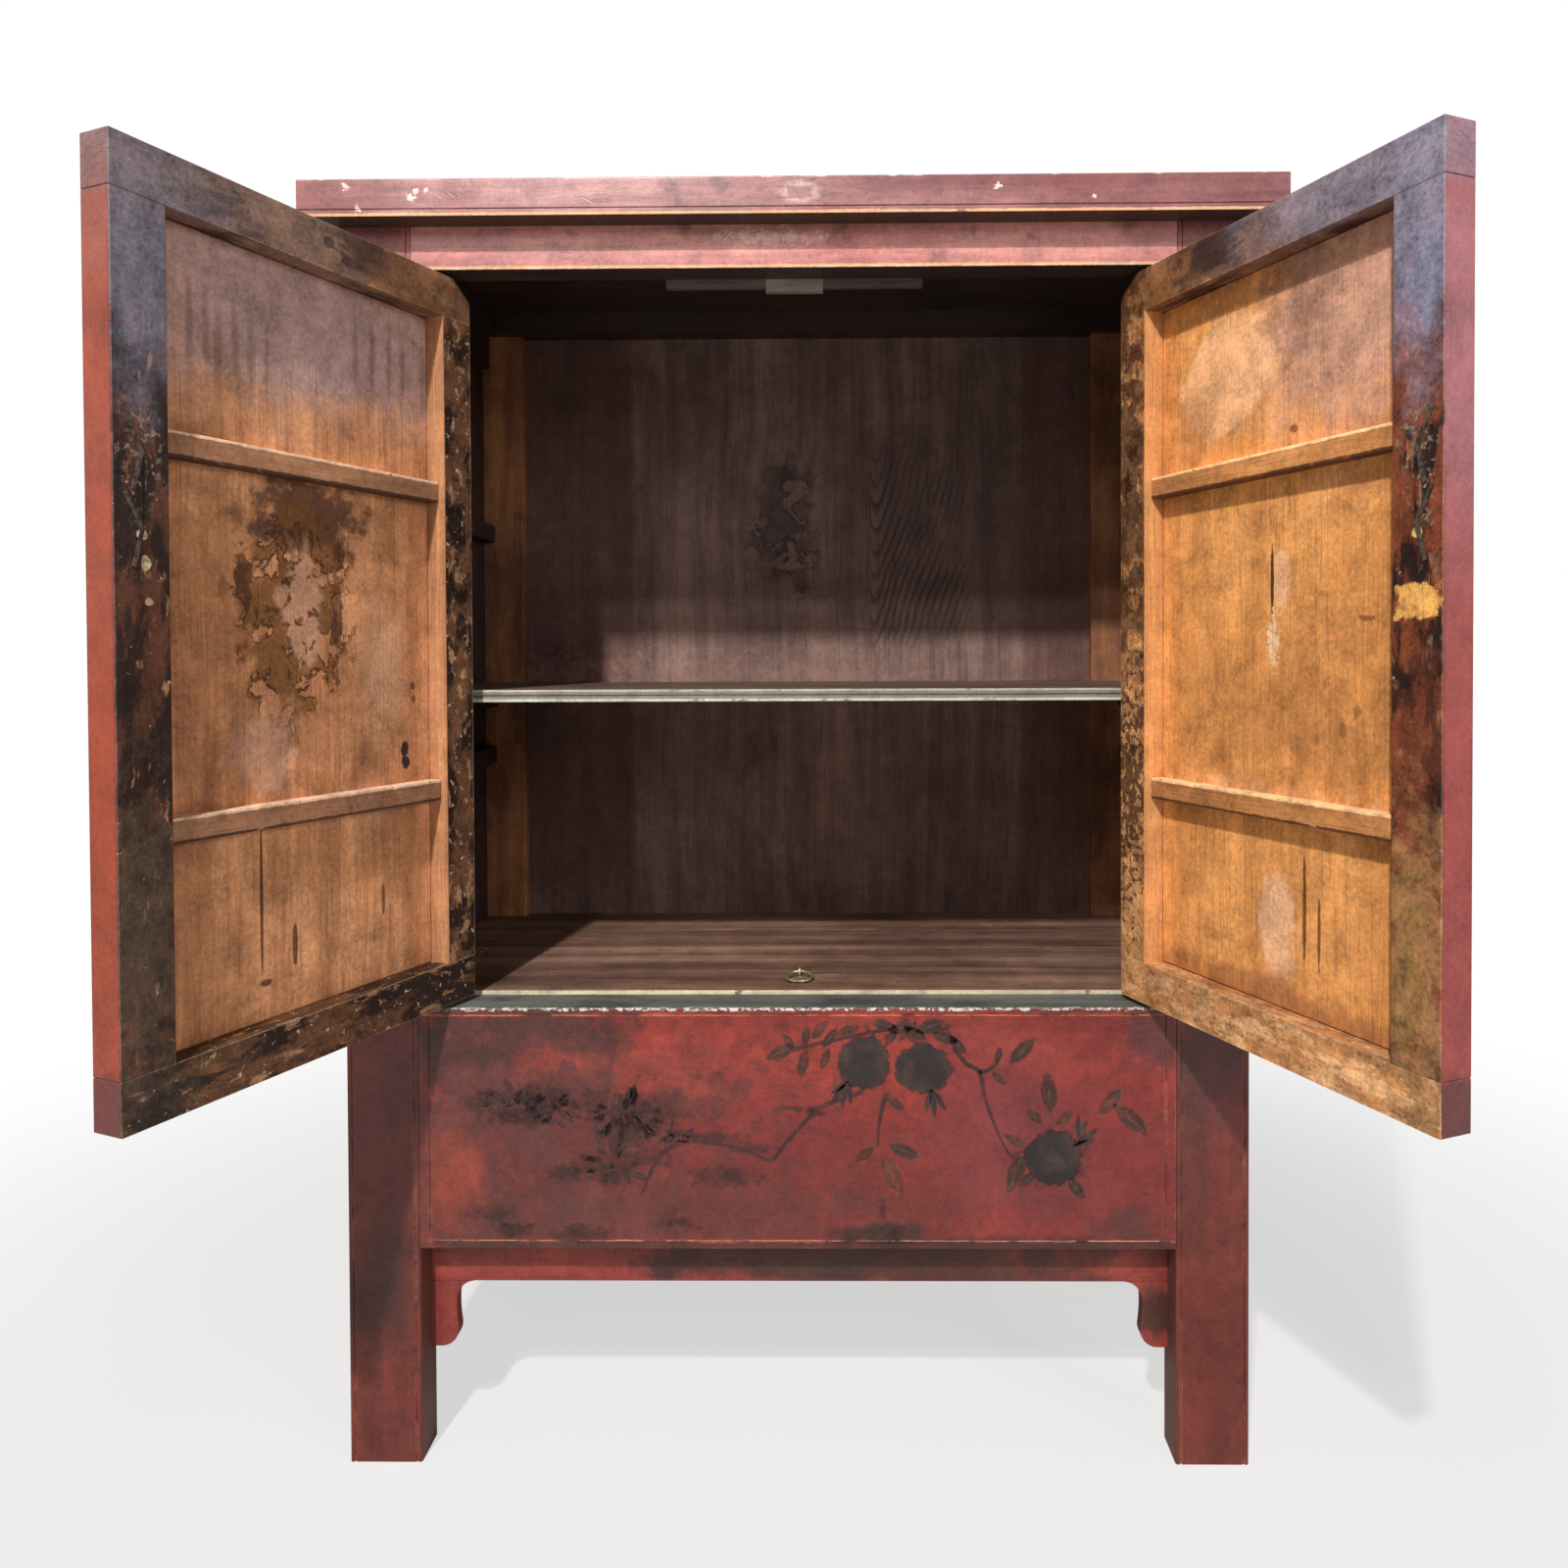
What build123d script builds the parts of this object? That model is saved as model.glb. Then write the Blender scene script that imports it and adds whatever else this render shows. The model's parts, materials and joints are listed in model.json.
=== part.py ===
"""Square-corner lacquered cabinet with two pivot-hung doors.

Carcass of four posts tied by rails, framed side and rear panels, a mitred
crown, one shelf, and a lift-out floor lid over a low compartment.  The doors
are modelled closed, then turned open about their wooden pivots.

Axes while modelling: X to the right, Y from the front face of the posts
towards the back, Z up from the floor.  At the end every piece is moved so
that the origin is the bottom centre of the whole open cabinet.
"""
from build123d import *
import math
import os

# ---------------------------------------------------------------- driving sizes
# Overall carcass
carcass_width = 1240.0          # over the posts
carcass_depth = 585.0           # over the posts
cabinet_height = 1750.0         # floor to top of crown

# Posts
post_width = 100.0
post_depth = 58.0
post_edge_round = 3.0
crown_tenon_width = 60.0        # tenon of a post in the crown
crown_tenon_depth = 29.0
crown_tenon_height = 28.0
post_bead_inset = 7.0           # scratched line along each edge of the front face
bead_width = 2.5
bead_depth = 1.5

# Crown
crown_height = 50.0
crown_overhang = 38.0           # front and sides
crown_rear_overhang = 10.0
crown_rail_width = 100.0
crown_lip_height = 8.0          # plain lip under the scratched line
crown_edge_round = 2.5
crown_panel_thickness = 14.0
crown_panel_drop = 3.0          # below the top of the crown rails

# Levels of the front frame
sill_top = 631.0                # underside of the door opening
sill_height = 34.0
sill_depth = 64.0
frieze_height = 58.0            # the door opening ends under it
lower_rail_bottom = 299.0
lower_rail_height = 32.0
apron_bottom = 231.0
apron_thickness = 18.0
front_panel_thickness = 18.0
front_tongue_setback = 5.0      # of the tongue of the front panel
front_bead_side_inset = 13.0    # line around the painted front, from the posts
front_bead_edge_inset = 7.5     # and from its top and bottom edges

# Brackets under the front apron
bracket_height = 93.0
bracket_top_width = 60.0
bracket_scoop_point = (42.5, -8.9)   # across and down from the inner top corner
bracket_neck_point = (36.0, -27.0)
bracket_side_point = (36.2, -45.5)
bracket_belly_point = (38.0, -64.0)
bracket_toe_point = (31.5, -85.6)
bracket_toe_width = 15.2

# Side and rear frames
side_rail_thickness = 40.0
mid_rail_height = 40.0
side_panel_thickness = 14.0
side_panel_recess = 14.0
side_apron_thickness = 16.0
side_apron_height = 48.0
side_batten_height = 30.0
side_batten_thickness = 20.0
rear_rail_inset = 8.0
rear_rail_thickness = 40.0
rear_top_rail_thickness = 22.0  # it lies behind the boards
rear_board_thickness = 12.0
rear_board_recess = 14.0        # behind the inner face of the other rear rails
rear_board_joints = (-418.0, -334.0, -10.0, 390.0)

# Joinery
tenon_length = 30.0
tenon_thickness = 18.0
tenon_shoulder = 8.0
tenon_clearance = 0.2
groove_depth = 8.0
tongue_thickness = 8.0
groove_clearance = 0.2
joint_clearance = 0.3
cut_overshoot = 1.0             # how far a cutter runs past the face it opens

# Inside
shelf_above_sill = 436.0        # top of the shelf over the sill
shelf_thickness = 18.0
shelf_front = 74.0
shelf_bearer_height = 26.0
shelf_bearer_width = 24.0
floor_top = 636.5
floor_thickness = 18.0
lid_front = 64.5
lid_length = 234.0              # front to back
lid_side_gap = 1.0
floor_bearer_height = 24.0
floor_bearer_width = 30.0
compartment_floor_thickness = 14.0
board_end_gap = 1.0

# Door stop behind the middle of the frieze
stop_clearance = 0.5            # from the back of a closed door
stop_thickness = 12.0
stop_height = 45.0
stop_length = 80.0
stop_drop = 17.0                # below the frieze
stop_cleat_length = 360.0       # over the strips on both sides of the stop
stop_cleat_drop = 11.0

# Doors
door_thickness = 42.0
door_setback = 6.0              # behind the front face of the posts
door_side_gap = 2.0
door_meeting_gap = 3.0
door_top_gap = 7.0
door_bottom_gap = 7.0
door_open_angle = 112.0
door_rail_height = 56.0
free_stile_width = 60.0
hinge_stile_width = 53.0
hinge_edge_round = 18.0
hinge_corner_run = 32.0         # sloping cut at the upper hinge corner
hinge_corner_drop = 25.0
pivot_from_edge = 30.0
pivot_from_face = 19.0
pivot_diameter = 22.0
pivot_running_clearance = 0.08
upper_pivot_engagement = 16.0
lower_pivot_engagement = 6.5    # less than the top gap, so the door lifts out
pivot_tenon_width = 22.0
pivot_tenon_depth = 16.5
free_tenon_width = 36.0
door_panel_thickness = 11.0
door_panel_setback = 1.0
door_panel_tongue = 6.0
batten_height = 28.0
batten_thickness = 20.0
batten_below_shelf = 148.0      # underside of each batten from the top of the shelf
batten_above_shelf = 258.0
batten_end_gap = 1.0
stile_tenon_length = 40.0

# Door hardware, held by split pins through the free stile
pull_above_sill = 614.0
staple_above_pull = 77.0
split_leg_width = 4.0
split_leg_thickness = 1.6
split_leg_length = 40.0
split_leg_spread = 28.0         # half angle of the bent legs
pin_hole_clearance = 0.3
eye_wire = 3.2
eye_hole = 8.0
staple_hole = 14.0
pull_ring_diameter = 38.0       # centre line
pull_ring_wire = 4.0

# Ring on the lid
lid_ring_diameter = 38.0
lid_ring_wire = 4.0
lid_eye_hole = 7.0
lid_rose_width = 27.0
lid_rose_length = 52.0
lid_rose_forward = 17.0         # its middle lies in front of the pin
lid_pin_clearance = 0.1
lid_pin_tail = 2.0              # below the underside of the lid
lid_rose_thickness = 1.5
lid_ring_from_front = 70.0
ring_clearance = 0.3

# ---------------------------------------------------------------- derived sizes
half_width = carcass_width / 2
inner_half = half_width - post_width
crown_bottom = cabinet_height - crown_height
frieze_bottom = crown_bottom - frieze_height
sill_bottom = sill_top - sill_height
lower_rail_top = lower_rail_bottom + lower_rail_height
rear_post_front = carcass_depth - post_depth
rear_rail_front = rear_post_front + rear_rail_inset
rear_board_front = rear_rail_front + rear_board_recess
side_panel_outer = half_width - side_panel_recess
side_panel_inner = side_panel_outer - side_panel_thickness
side_rail_inner = half_width - side_rail_thickness
wall_half = side_panel_inner
floor_bottom = floor_top - floor_thickness
lid_rear = lid_front + lid_length
shelf_top = sill_top + shelf_above_sill
shelf_bottom = shelf_top - shelf_thickness
batten_levels = (shelf_top - batten_below_shelf, shelf_top + batten_above_shelf)
pull_level = sill_top + pull_above_sill
staple_level = pull_level + staple_above_pull
compartment_floor_top = lower_rail_top + compartment_floor_thickness
mid_rail_bottom = floor_bottom - mid_rail_height
leaf_length = inner_half - door_side_gap - door_meeting_gap / 2
leaf_bottom = sill_top + door_bottom_gap
leaf_top = frieze_bottom - door_top_gap
leaf_start = -inner_half + door_side_gap
pivot_x = leaf_start + pivot_from_edge
pivot_y = door_setback + pivot_from_face
door_back = door_setback + door_thickness
frieze_depth = door_back + stop_clearance

nodes = {}


# ---------------------------------------------------------------- helpers
def block(x, y, z):
    """Solid box from its (low, high) span along each axis."""
    spans = (x, y, z)
    size = [high - low for low, high in spans]
    middle = [(high + low) / 2 for low, high in spans]
    return Pos(*middle) * Box(*size)


def grown(span, amount):
    """A (low, high) span made longer by amount at both ends."""
    return (span[0] - amount, span[1] + amount)


def drilled(piece, *cutters):
    """The piece with every cutter taken away."""
    for cutter in cutters:
        piece = piece - cutter
    return piece


def mirrored(piece):
    """The same piece on the other side of the cabinet."""
    return mirror(piece, about=Plane.YZ)


def rod(start, end, radius):
    """Straight round rod between two points."""
    axis = Vector(*end) - Vector(*start)
    place = Plane(origin=start, z_dir=axis)
    return extrude(place * Circle(radius), amount=axis.length)


def ring(centre, axis, radius, wire):
    """Round ring of wire about an axis."""
    plane = Plane(origin=centre, z_dir=axis)
    return plane * Torus(radius, wire / 2)


def group(pieces):
    """Separate solids kept together in one node."""
    return Compound([solid for piece in pieces for solid in piece.solids()])


def both_sides(name, left_piece):
    """Store a left piece and its mirror image under side names."""
    nodes["left_" + name] = left_piece
    nodes["right_" + name] = mirrored(left_piece)


def one_pair(name, left_pieces):
    """Store left pieces and their mirror images as separate solids of one node."""
    nodes[name] = group([*left_pieces, *[mirrored(piece) for piece in left_pieces]])


# ---------------------------------------------------------------- joinery shapes
def rail_tenons(y_middle, z):
    """Stub tenons at both ends of a rail that runs along X between two posts."""
    y = (y_middle - tenon_thickness / 2, y_middle + tenon_thickness / 2)
    z = grown(z, -tenon_shoulder)
    return block((-inner_half - tenon_length, inner_half + tenon_length), y, z)


def rail_mortises(y_middle, z):
    """Mortises for those tenons, with their clearance."""
    y = (y_middle - tenon_thickness / 2, y_middle + tenon_thickness / 2)
    z = grown(z, -tenon_shoulder)
    reach = inner_half + tenon_length + joint_clearance
    return block((-reach, reach), grown(y, tenon_clearance), grown(z, tenon_clearance))


def cross_rail(y, z):
    """Rail along X between two posts, with its tenons."""
    y_middle = (y[0] + y[1]) / 2
    return block((-inner_half, inner_half), y, z) + rail_tenons(y_middle, z)


def side_tenon_box(z, extra=0.0):
    """Tenons of a left side rail, which run along Y into both posts."""
    x_middle = -half_width + side_rail_thickness / 2
    x = (x_middle - tenon_thickness / 2, x_middle + tenon_thickness / 2)
    y = (post_depth - tenon_length, rear_post_front + tenon_length)
    end = joint_clearance if extra else 0.0
    return block(grown(x, extra), grown(y, end), grown(grown(z, -tenon_shoulder), extra))


def side_rail(z):
    """Left side rail between the front and the rear post."""
    x = (-half_width, -side_rail_inner)
    return block(x, (post_depth, rear_post_front), z) + side_tenon_box(z)


# Spans of the rails, by level
top_rail_z = (frieze_bottom, crown_bottom)
sill_z = (sill_bottom, sill_top)
mid_rail_z = (mid_rail_bottom, floor_bottom)
low_rail_z = (lower_rail_bottom, lower_rail_top)
frieze_y = (0.0, frieze_depth)
sill_y = (0.0, sill_depth)
low_front_y = (0.0, post_depth)
rear_rail_y = (rear_rail_front, rear_rail_front + rear_rail_thickness)
rear_top_rail_front = rear_board_front + rear_board_thickness + groove_clearance
rear_top_rail_y = (rear_top_rail_front, rear_top_rail_front + rear_top_rail_thickness)
sill_tenon_y = post_depth / 2


def panel_groove(panel_x, panel_y, panel_z):
    """Room for a board whose edges sit in grooves, with side clearance."""
    return block(grown(panel_x, groove_clearance), grown(panel_y, groove_clearance),
                 (panel_z[0], panel_z[1] + groove_clearance))


# Boards that sit in grooves: their spans reach into the rails and posts
side_panel_x = (-side_panel_outer, -side_panel_inner)
side_panel_y = (post_depth - groove_depth, rear_post_front + groove_depth)
upper_side_z = (floor_bottom - groove_depth, frieze_bottom + groove_depth)
lower_side_z = (lower_rail_top - groove_depth, mid_rail_bottom + groove_depth)
upper_rear_z = (upper_side_z[0], crown_bottom)
rear_board_x = (-inner_half - groove_depth, inner_half + groove_depth)
rear_board_y = (rear_board_front, rear_board_front + rear_board_thickness)
front_tongue_y = (front_tongue_setback, front_tongue_setback + tongue_thickness)
front_tongue_x = (-inner_half - groove_depth, inner_half + groove_depth)
front_tongue_z = (lower_rail_top - groove_depth, sill_bottom + groove_depth)

side_grooves = (
    panel_groove(side_panel_x, side_panel_y, upper_side_z),
    panel_groove(side_panel_x, side_panel_y, lower_side_z),
)
rear_grooves = (
    panel_groove(rear_board_x, rear_board_y, upper_rear_z),
    panel_groove(rear_board_x, rear_board_y, lower_side_z),
)
front_groove = panel_groove(front_tongue_x, front_tongue_y, front_tongue_z)


# ---------------------------------------------------------------- carcass
def crown_tenon(y, side_clearance, end_clearance):
    """Tenon of a left post in the crown, made larger by its clearances."""
    x = grown((-half_width, -inner_half), (crown_tenon_width - post_width) / 2 + side_clearance)
    y = grown(y, (crown_tenon_depth - post_depth) / 2 + side_clearance)
    return block(x, y, (crown_bottom, crown_bottom + crown_tenon_height + end_clearance))


def post_blank(y):
    """Left post with its rounded edges and the tenon into the crown."""
    body = block((-half_width, -inner_half), y, (0.0, crown_bottom))
    body = fillet(body.edges().filter_by(Axis.Z), post_edge_round)
    return body + crown_tenon(y, 0.0, 0.0)


def post_socket(y):
    """Blind mortise in the crown for the tenon of a left post."""
    return crown_tenon(y, tenon_clearance, joint_clearance)


def make_posts():
    """Four posts: the front pair carries the scratched lines on its face."""
    front_y = (0.0, post_depth)
    rear_y = (rear_post_front, carcass_depth)
    side_mortises = [side_tenon_box(z, tenon_clearance)
                     for z in (top_rail_z, mid_rail_z, low_rail_z)]
    front = drilled(
        post_blank(front_y),
        rail_mortises(frieze_depth / 2, top_rail_z),
        rail_mortises(sill_tenon_y, sill_z),
        rail_mortises(post_depth / 2, low_rail_z),
        front_groove, *side_grooves, *side_mortises)
    for x in (-half_width + post_bead_inset, -inner_half - post_bead_inset):
        front = front - block((x - bead_width / 2, x + bead_width / 2),
                              (-cut_overshoot, bead_depth), (-cut_overshoot, crown_bottom))
    rear = drilled(
        post_blank(rear_y),
        rail_mortises(sum(rear_top_rail_y) / 2, top_rail_z),
        *[rail_mortises(sum(rear_rail_y) / 2, z) for z in (mid_rail_z, low_rail_z)],
        *rear_grooves, *side_grooves, *side_mortises)
    both_sides("front_post", front)
    both_sides("rear_post", rear)


def pivot_socket(top, bottom):
    """Round socket for a left door pivot, with the running clearance."""
    radius = pivot_diameter / 2 + pivot_running_clearance
    return rod((pivot_x, pivot_y, bottom), (pivot_x, pivot_y, top), radius)


def front_bead(z_low, z_high):
    """Scratched rectangle that runs round the painted front."""
    x = inner_half - front_bead_side_inset
    y = (-cut_overshoot, bead_depth)
    outer = block((-x, x), y, (z_low, z_high))
    return outer - block(grown((-x, x), -bead_width), grown(y, cut_overshoot),
                         grown((z_low, z_high), -bead_width))


def make_front():
    """Frieze, sill, lower front and apron between the front posts."""
    bead = front_bead(lower_rail_bottom + front_bead_edge_inset, sill_top - front_bead_edge_inset)

    frieze = cross_rail(frieze_y, top_rail_z)
    upper_socket = pivot_socket(frieze_bottom + upper_pivot_engagement + door_top_gap
                                + joint_clearance, frieze_bottom - cut_overshoot)
    nodes["front_frieze_rail"] = drilled(frieze, upper_socket, mirrored(upper_socket))

    sill = block((-inner_half, inner_half), sill_y, sill_z) + rail_tenons(sill_tenon_y, sill_z)
    lower_socket = pivot_socket(sill_top + cut_overshoot, sill_top - lower_pivot_engagement)
    nodes["sill_rail"] = drilled(sill, front_groove, bead, lower_socket, mirrored(lower_socket))

    panel = block((-inner_half, inner_half), (0.0, front_panel_thickness),
                  (lower_rail_top, sill_bottom))
    panel = panel + block(front_tongue_x, front_tongue_y, front_tongue_z)
    nodes["lower_front_panel"] = panel - bead

    rail = cross_rail(low_front_y, low_rail_z)
    nodes["lower_front_rail"] = drilled(rail, front_groove, bead)

    apron_y = (post_depth - apron_thickness, post_depth)
    nodes["front_apron"] = block((-inner_half, inner_half), apron_y,
                                 (apron_bottom, lower_rail_bottom))
    both_sides("front_bracket", front_bracket(apron_y))


def front_bracket(y):
    """Shaped bracket in the corner of the left post and the front apron."""
    top = (bracket_top_width, 0)
    toe = (bracket_toe_width, -bracket_height)
    outline = [
        Line((0, 0), top),
        ThreePointArc(top, bracket_scoop_point, bracket_neck_point),
        ThreePointArc(bracket_neck_point, bracket_side_point, bracket_belly_point),
        ThreePointArc(bracket_belly_point, bracket_toe_point, toe),
        Line(toe, (0, -bracket_height)),
        Line((0, -bracket_height), (0, 0)),
    ]
    place = Plane(origin=(-inner_half, y[1], apron_bottom), x_dir=(1, 0, 0), z_dir=(0, -1, 0))
    return extrude(place * make_face(outline), amount=y[1] - y[0])


def make_sides():
    """Framed side walls: three rails, two panels, battens and an apron."""
    for name, z in (("top", top_rail_z), ("mid", mid_rail_z), ("bottom", low_rail_z)):
        both_sides(f"side_{name}_rail", drilled(side_rail(z), *side_grooves))
    both_sides("side_upper_panel", block(side_panel_x, side_panel_y, upper_side_z))
    one_pair("side_lower_panels", [block(side_panel_x, side_panel_y, lower_side_z)])
    one_pair("side_aprons", [block(
        (-side_panel_outer, -side_panel_outer + side_apron_thickness),
        (post_depth, rear_post_front),
        (lower_rail_bottom - side_apron_height, lower_rail_bottom))])
    batten_x = (-side_panel_inner, -side_panel_inner + side_batten_thickness)
    battens = []
    for level in batten_levels:
        battens.append(block(batten_x, (post_depth, rear_post_front),
                             (level, level + side_batten_height)))
    one_pair("side_battens", battens)


def make_rear():
    """Framed back: three rails, upright boards above and one board below."""
    nodes["rear_top_rail"] = cross_rail(rear_top_rail_y, top_rail_z)
    for name, z in (("mid", mid_rail_z), ("bottom", low_rail_z)):
        nodes[f"rear_{name}_rail"] = drilled(cross_rail(rear_rail_y, z), *rear_grooves)
    edges = (rear_board_x[0], *rear_board_joints, rear_board_x[1])
    lap = rear_board_thickness / 2
    middle = sum(rear_board_y) / 2
    boards = []
    for left, right in zip(edges, edges[1:]):
        board = block((left, right), rear_board_y, upper_rear_z)
        if left in rear_board_joints:
            board = board - block((left - cut_overshoot, left + lap),
                                  (middle, rear_board_y[1] + cut_overshoot),
                                  grown(upper_rear_z, cut_overshoot))
        if right in rear_board_joints:
            board = board + block((right, right + lap - joint_clearance),
                                  (middle + groove_clearance, rear_board_y[1]), upper_rear_z)
        boards.append(board)
    nodes["rear_upper_boards"] = group(boards)
    nodes["rear_lower_panel"] = block(rear_board_x, rear_board_y, lower_side_z)


def notched_board(front, z):
    """Board between the side walls, cut round whichever posts it meets."""
    half = wall_half - board_end_gap
    rear = rear_board_front - board_end_gap
    narrow = inner_half - board_end_gap
    board = block((-half, half), (max(front, post_depth + board_end_gap),
                                  rear_post_front - board_end_gap), z)
    board = board + block((-narrow, narrow), (rear_post_front - board_end_gap, rear), z)
    if front < post_depth:
        board = board + block((-narrow, narrow), (front, post_depth + board_end_gap), z)
    return board


def make_shelf():
    """Shelf notched round the rear posts, on a bearer at each end."""
    shelf = notched_board(shelf_front, (shelf_bottom, shelf_top))
    line_z = (shelf_bottom + shelf_top) / 2
    line = block((-wall_half, wall_half),
                 (shelf_front - cut_overshoot, shelf_front + bead_depth),
                 (line_z - bead_width / 2, line_z + bead_width / 2))
    nodes["shelf"] = shelf - line
    one_pair("shelf_bearers", [block(
        (-wall_half, -wall_half + shelf_bearer_width), (post_depth, rear_post_front),
        (shelf_bottom - shelf_bearer_height, shelf_bottom))])


def make_floor():
    """Compartment, its floor, and the floor above it with the lift-out lid."""
    nodes["compartment_floor"] = notched_board(
        front_panel_thickness + board_end_gap, (lower_rail_top, compartment_floor_top))

    floor_z = (floor_bottom, floor_top)
    lid_half = inner_half - board_end_gap
    lid = block((-lid_half, lid_half), (lid_front, lid_rear - lid_side_gap), floor_z)
    nodes["floor_lid"] = lid - lid_pin_hole()

    end = block((-wall_half + board_end_gap, -lid_half - lid_side_gap),
                (post_depth + board_end_gap, lid_rear - lid_side_gap), floor_z)
    one_pair("floor_end_boards", [end])
    nodes["rear_floor_board"] = notched_board(lid_rear, floor_z)

    bearer_z = (floor_bottom - floor_bearer_height, floor_bottom)
    inner = wall_half - floor_bearer_width
    lap = floor_bearer_width / 2
    front = block((-inner, inner), (sill_depth, sill_depth + floor_bearer_width), bearer_z)
    cross = block((-side_rail_inner, side_rail_inner), (lid_rear - lap, lid_rear + lap), bearer_z)
    nodes["floor_bearers"] = group([front, cross])


# ---------------------------------------------------------------- crown
def mitred_rail(outline, cutters):
    """Crown rail from its plan outline, with rounded top and scratched lip."""
    rail = extrude(make_face(Polyline(*outline, close=True)), amount=crown_height)
    return drilled(Pos(0, 0, crown_bottom) * rail, *cutters)


def make_crown():
    """Mitred frame with a floating panel let into it."""
    x_out = half_width + crown_overhang
    y_front = -crown_overhang
    y_rear = carcass_depth + crown_rear_overhang
    x_in = x_out - crown_rail_width
    y_front_in = y_front + crown_rail_width
    y_rear_in = y_rear - crown_rail_width

    panel_z = (cabinet_height - crown_panel_drop - crown_panel_thickness,
               cabinet_height - crown_panel_drop)
    middle = sum(panel_z) / 2
    tongue = (middle - tongue_thickness / 2, middle + tongue_thickness / 2)
    tongue_x = (-x_in - groove_depth, x_in + groove_depth)
    tongue_y = (y_front_in - groove_depth, y_rear_in + groove_depth)
    fit = joint_clearance
    groove = panel_groove(tongue_x, tongue_y, tongue)
    panel = block(grown((-x_in, x_in), -fit), grown((y_front_in, y_rear_in), -fit), panel_z)
    nodes["crown_panel"] = panel + block(tongue_x, tongue_y, tongue)

    lip = crown_bottom + crown_lip_height
    line_z = (lip, lip + bead_width)
    around = block(grown((-x_out, x_out), cut_overshoot),
                   grown((y_front, y_rear), cut_overshoot), line_z)
    line = around - block(grown((-x_out, x_out), -bead_depth),
                          (y_front + bead_depth, y_rear + cut_overshoot), line_z)
    front_socket = post_socket((0.0, post_depth))
    rear_socket = post_socket((rear_post_front, carcass_depth))
    cutters = (groove, line, front_socket, mirrored(front_socket),
               rear_socket, mirrored(rear_socket))

    front = mitred_rail([(-x_out, y_front), (x_out, y_front),
                         (x_in, y_front_in), (-x_in, y_front_in)], cutters)
    rear = mitred_rail([(-x_in, y_rear_in), (x_in, y_rear_in),
                        (x_out, y_rear), (-x_out, y_rear)], cutters)
    left = mitred_rail([(-x_out, y_front), (-x_in, y_front_in),
                        (-x_in, y_rear_in), (-x_out, y_rear)], cutters)
    top_front = front.edges().filter_by(Axis.X).sort_by(Axis.Y)[:4].sort_by(Axis.Z)[-1]
    nodes["crown_front_rail"] = fillet(top_front, crown_edge_round)
    nodes["crown_rear_rail"] = rear
    top_left = left.edges().filter_by(Axis.Y).sort_by(Axis.X)[:4].sort_by(Axis.Z)[-1]
    left = fillet(top_left, crown_edge_round)
    both_sides("crown_side_rail", left)


# ---------------------------------------------------------------- door stop
def make_stop():
    """Block behind the frieze that both doors close against, between two strips."""
    y = (frieze_depth, frieze_depth + stop_thickness)
    top = frieze_bottom - stop_drop + stop_height
    stop_x = grown((0.0, 0.0), stop_length / 2)
    nodes["door_stop"] = block(stop_x, y, (frieze_bottom - stop_drop, top))
    one_pair("door_stop_cleats", [block((stop_x[1], stop_cleat_length / 2), y,
                                        (frieze_bottom - stop_cleat_drop, top))])


# ---------------------------------------------------------------- doors
def leaf_span(s):
    """Span along the closed left leaf, measured from its hinge edge."""
    return (leaf_start + s[0], leaf_start + s[1])


def face_span(n):
    """Span through the leaf, measured from its outer face."""
    return (door_setback + n[0], door_setback + n[1])


def leaf_envelope():
    """Whole leaf: round outer hinge edge and a sloping upper hinge corner."""
    body = block(leaf_span((0.0, leaf_length)), face_span((0.0, door_thickness)),
                 (leaf_bottom, leaf_top))
    hinge_edges = body.edges().filter_by(Axis.Z).sort_by(Axis.X)[:2]
    body = fillet(hinge_edges.sort_by(Axis.Y)[0], hinge_edge_round)
    corner = Polyline((leaf_start, leaf_top - hinge_corner_drop),
                      (leaf_start + hinge_corner_run, leaf_top),
                      (leaf_start - cut_overshoot, leaf_top + cut_overshoot), close=True)
    y = grown((door_setback, door_back), cut_overshoot)
    place = Plane(origin=(0, y[1], 0), x_dir=(1, 0, 0), z_dir=(0, -1, 0))
    return body - extrude(place * make_face(corner), amount=y[1] - y[0])


def pivot_tenon(z, extra=0.0):
    """Square part of the hinge stile that passes through a door rail."""
    return block(grown((pivot_x, pivot_x), pivot_tenon_width / 2 + extra),
                 grown((pivot_y, pivot_y), pivot_tenon_depth / 2 + extra), z)


def free_tenon(z, extra=0.0):
    """Stub tenon at an end of the free stile."""
    x = leaf_start + leaf_length - free_stile_width / 2
    y = door_setback + door_thickness / 2
    return block(grown((x, x), free_tenon_width / 2 + extra),
                 grown((y, y), tenon_thickness / 2 + extra), z)


def pin_hole(level):
    """Hole through the free stile for a split pin."""
    x = leaf_start + leaf_length - free_stile_width / 2
    low, high = grown((door_setback, door_back), cut_overshoot)
    return rod((x, low, level), (x, high, level), split_leg_width / 2 + pin_hole_clearance)


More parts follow.
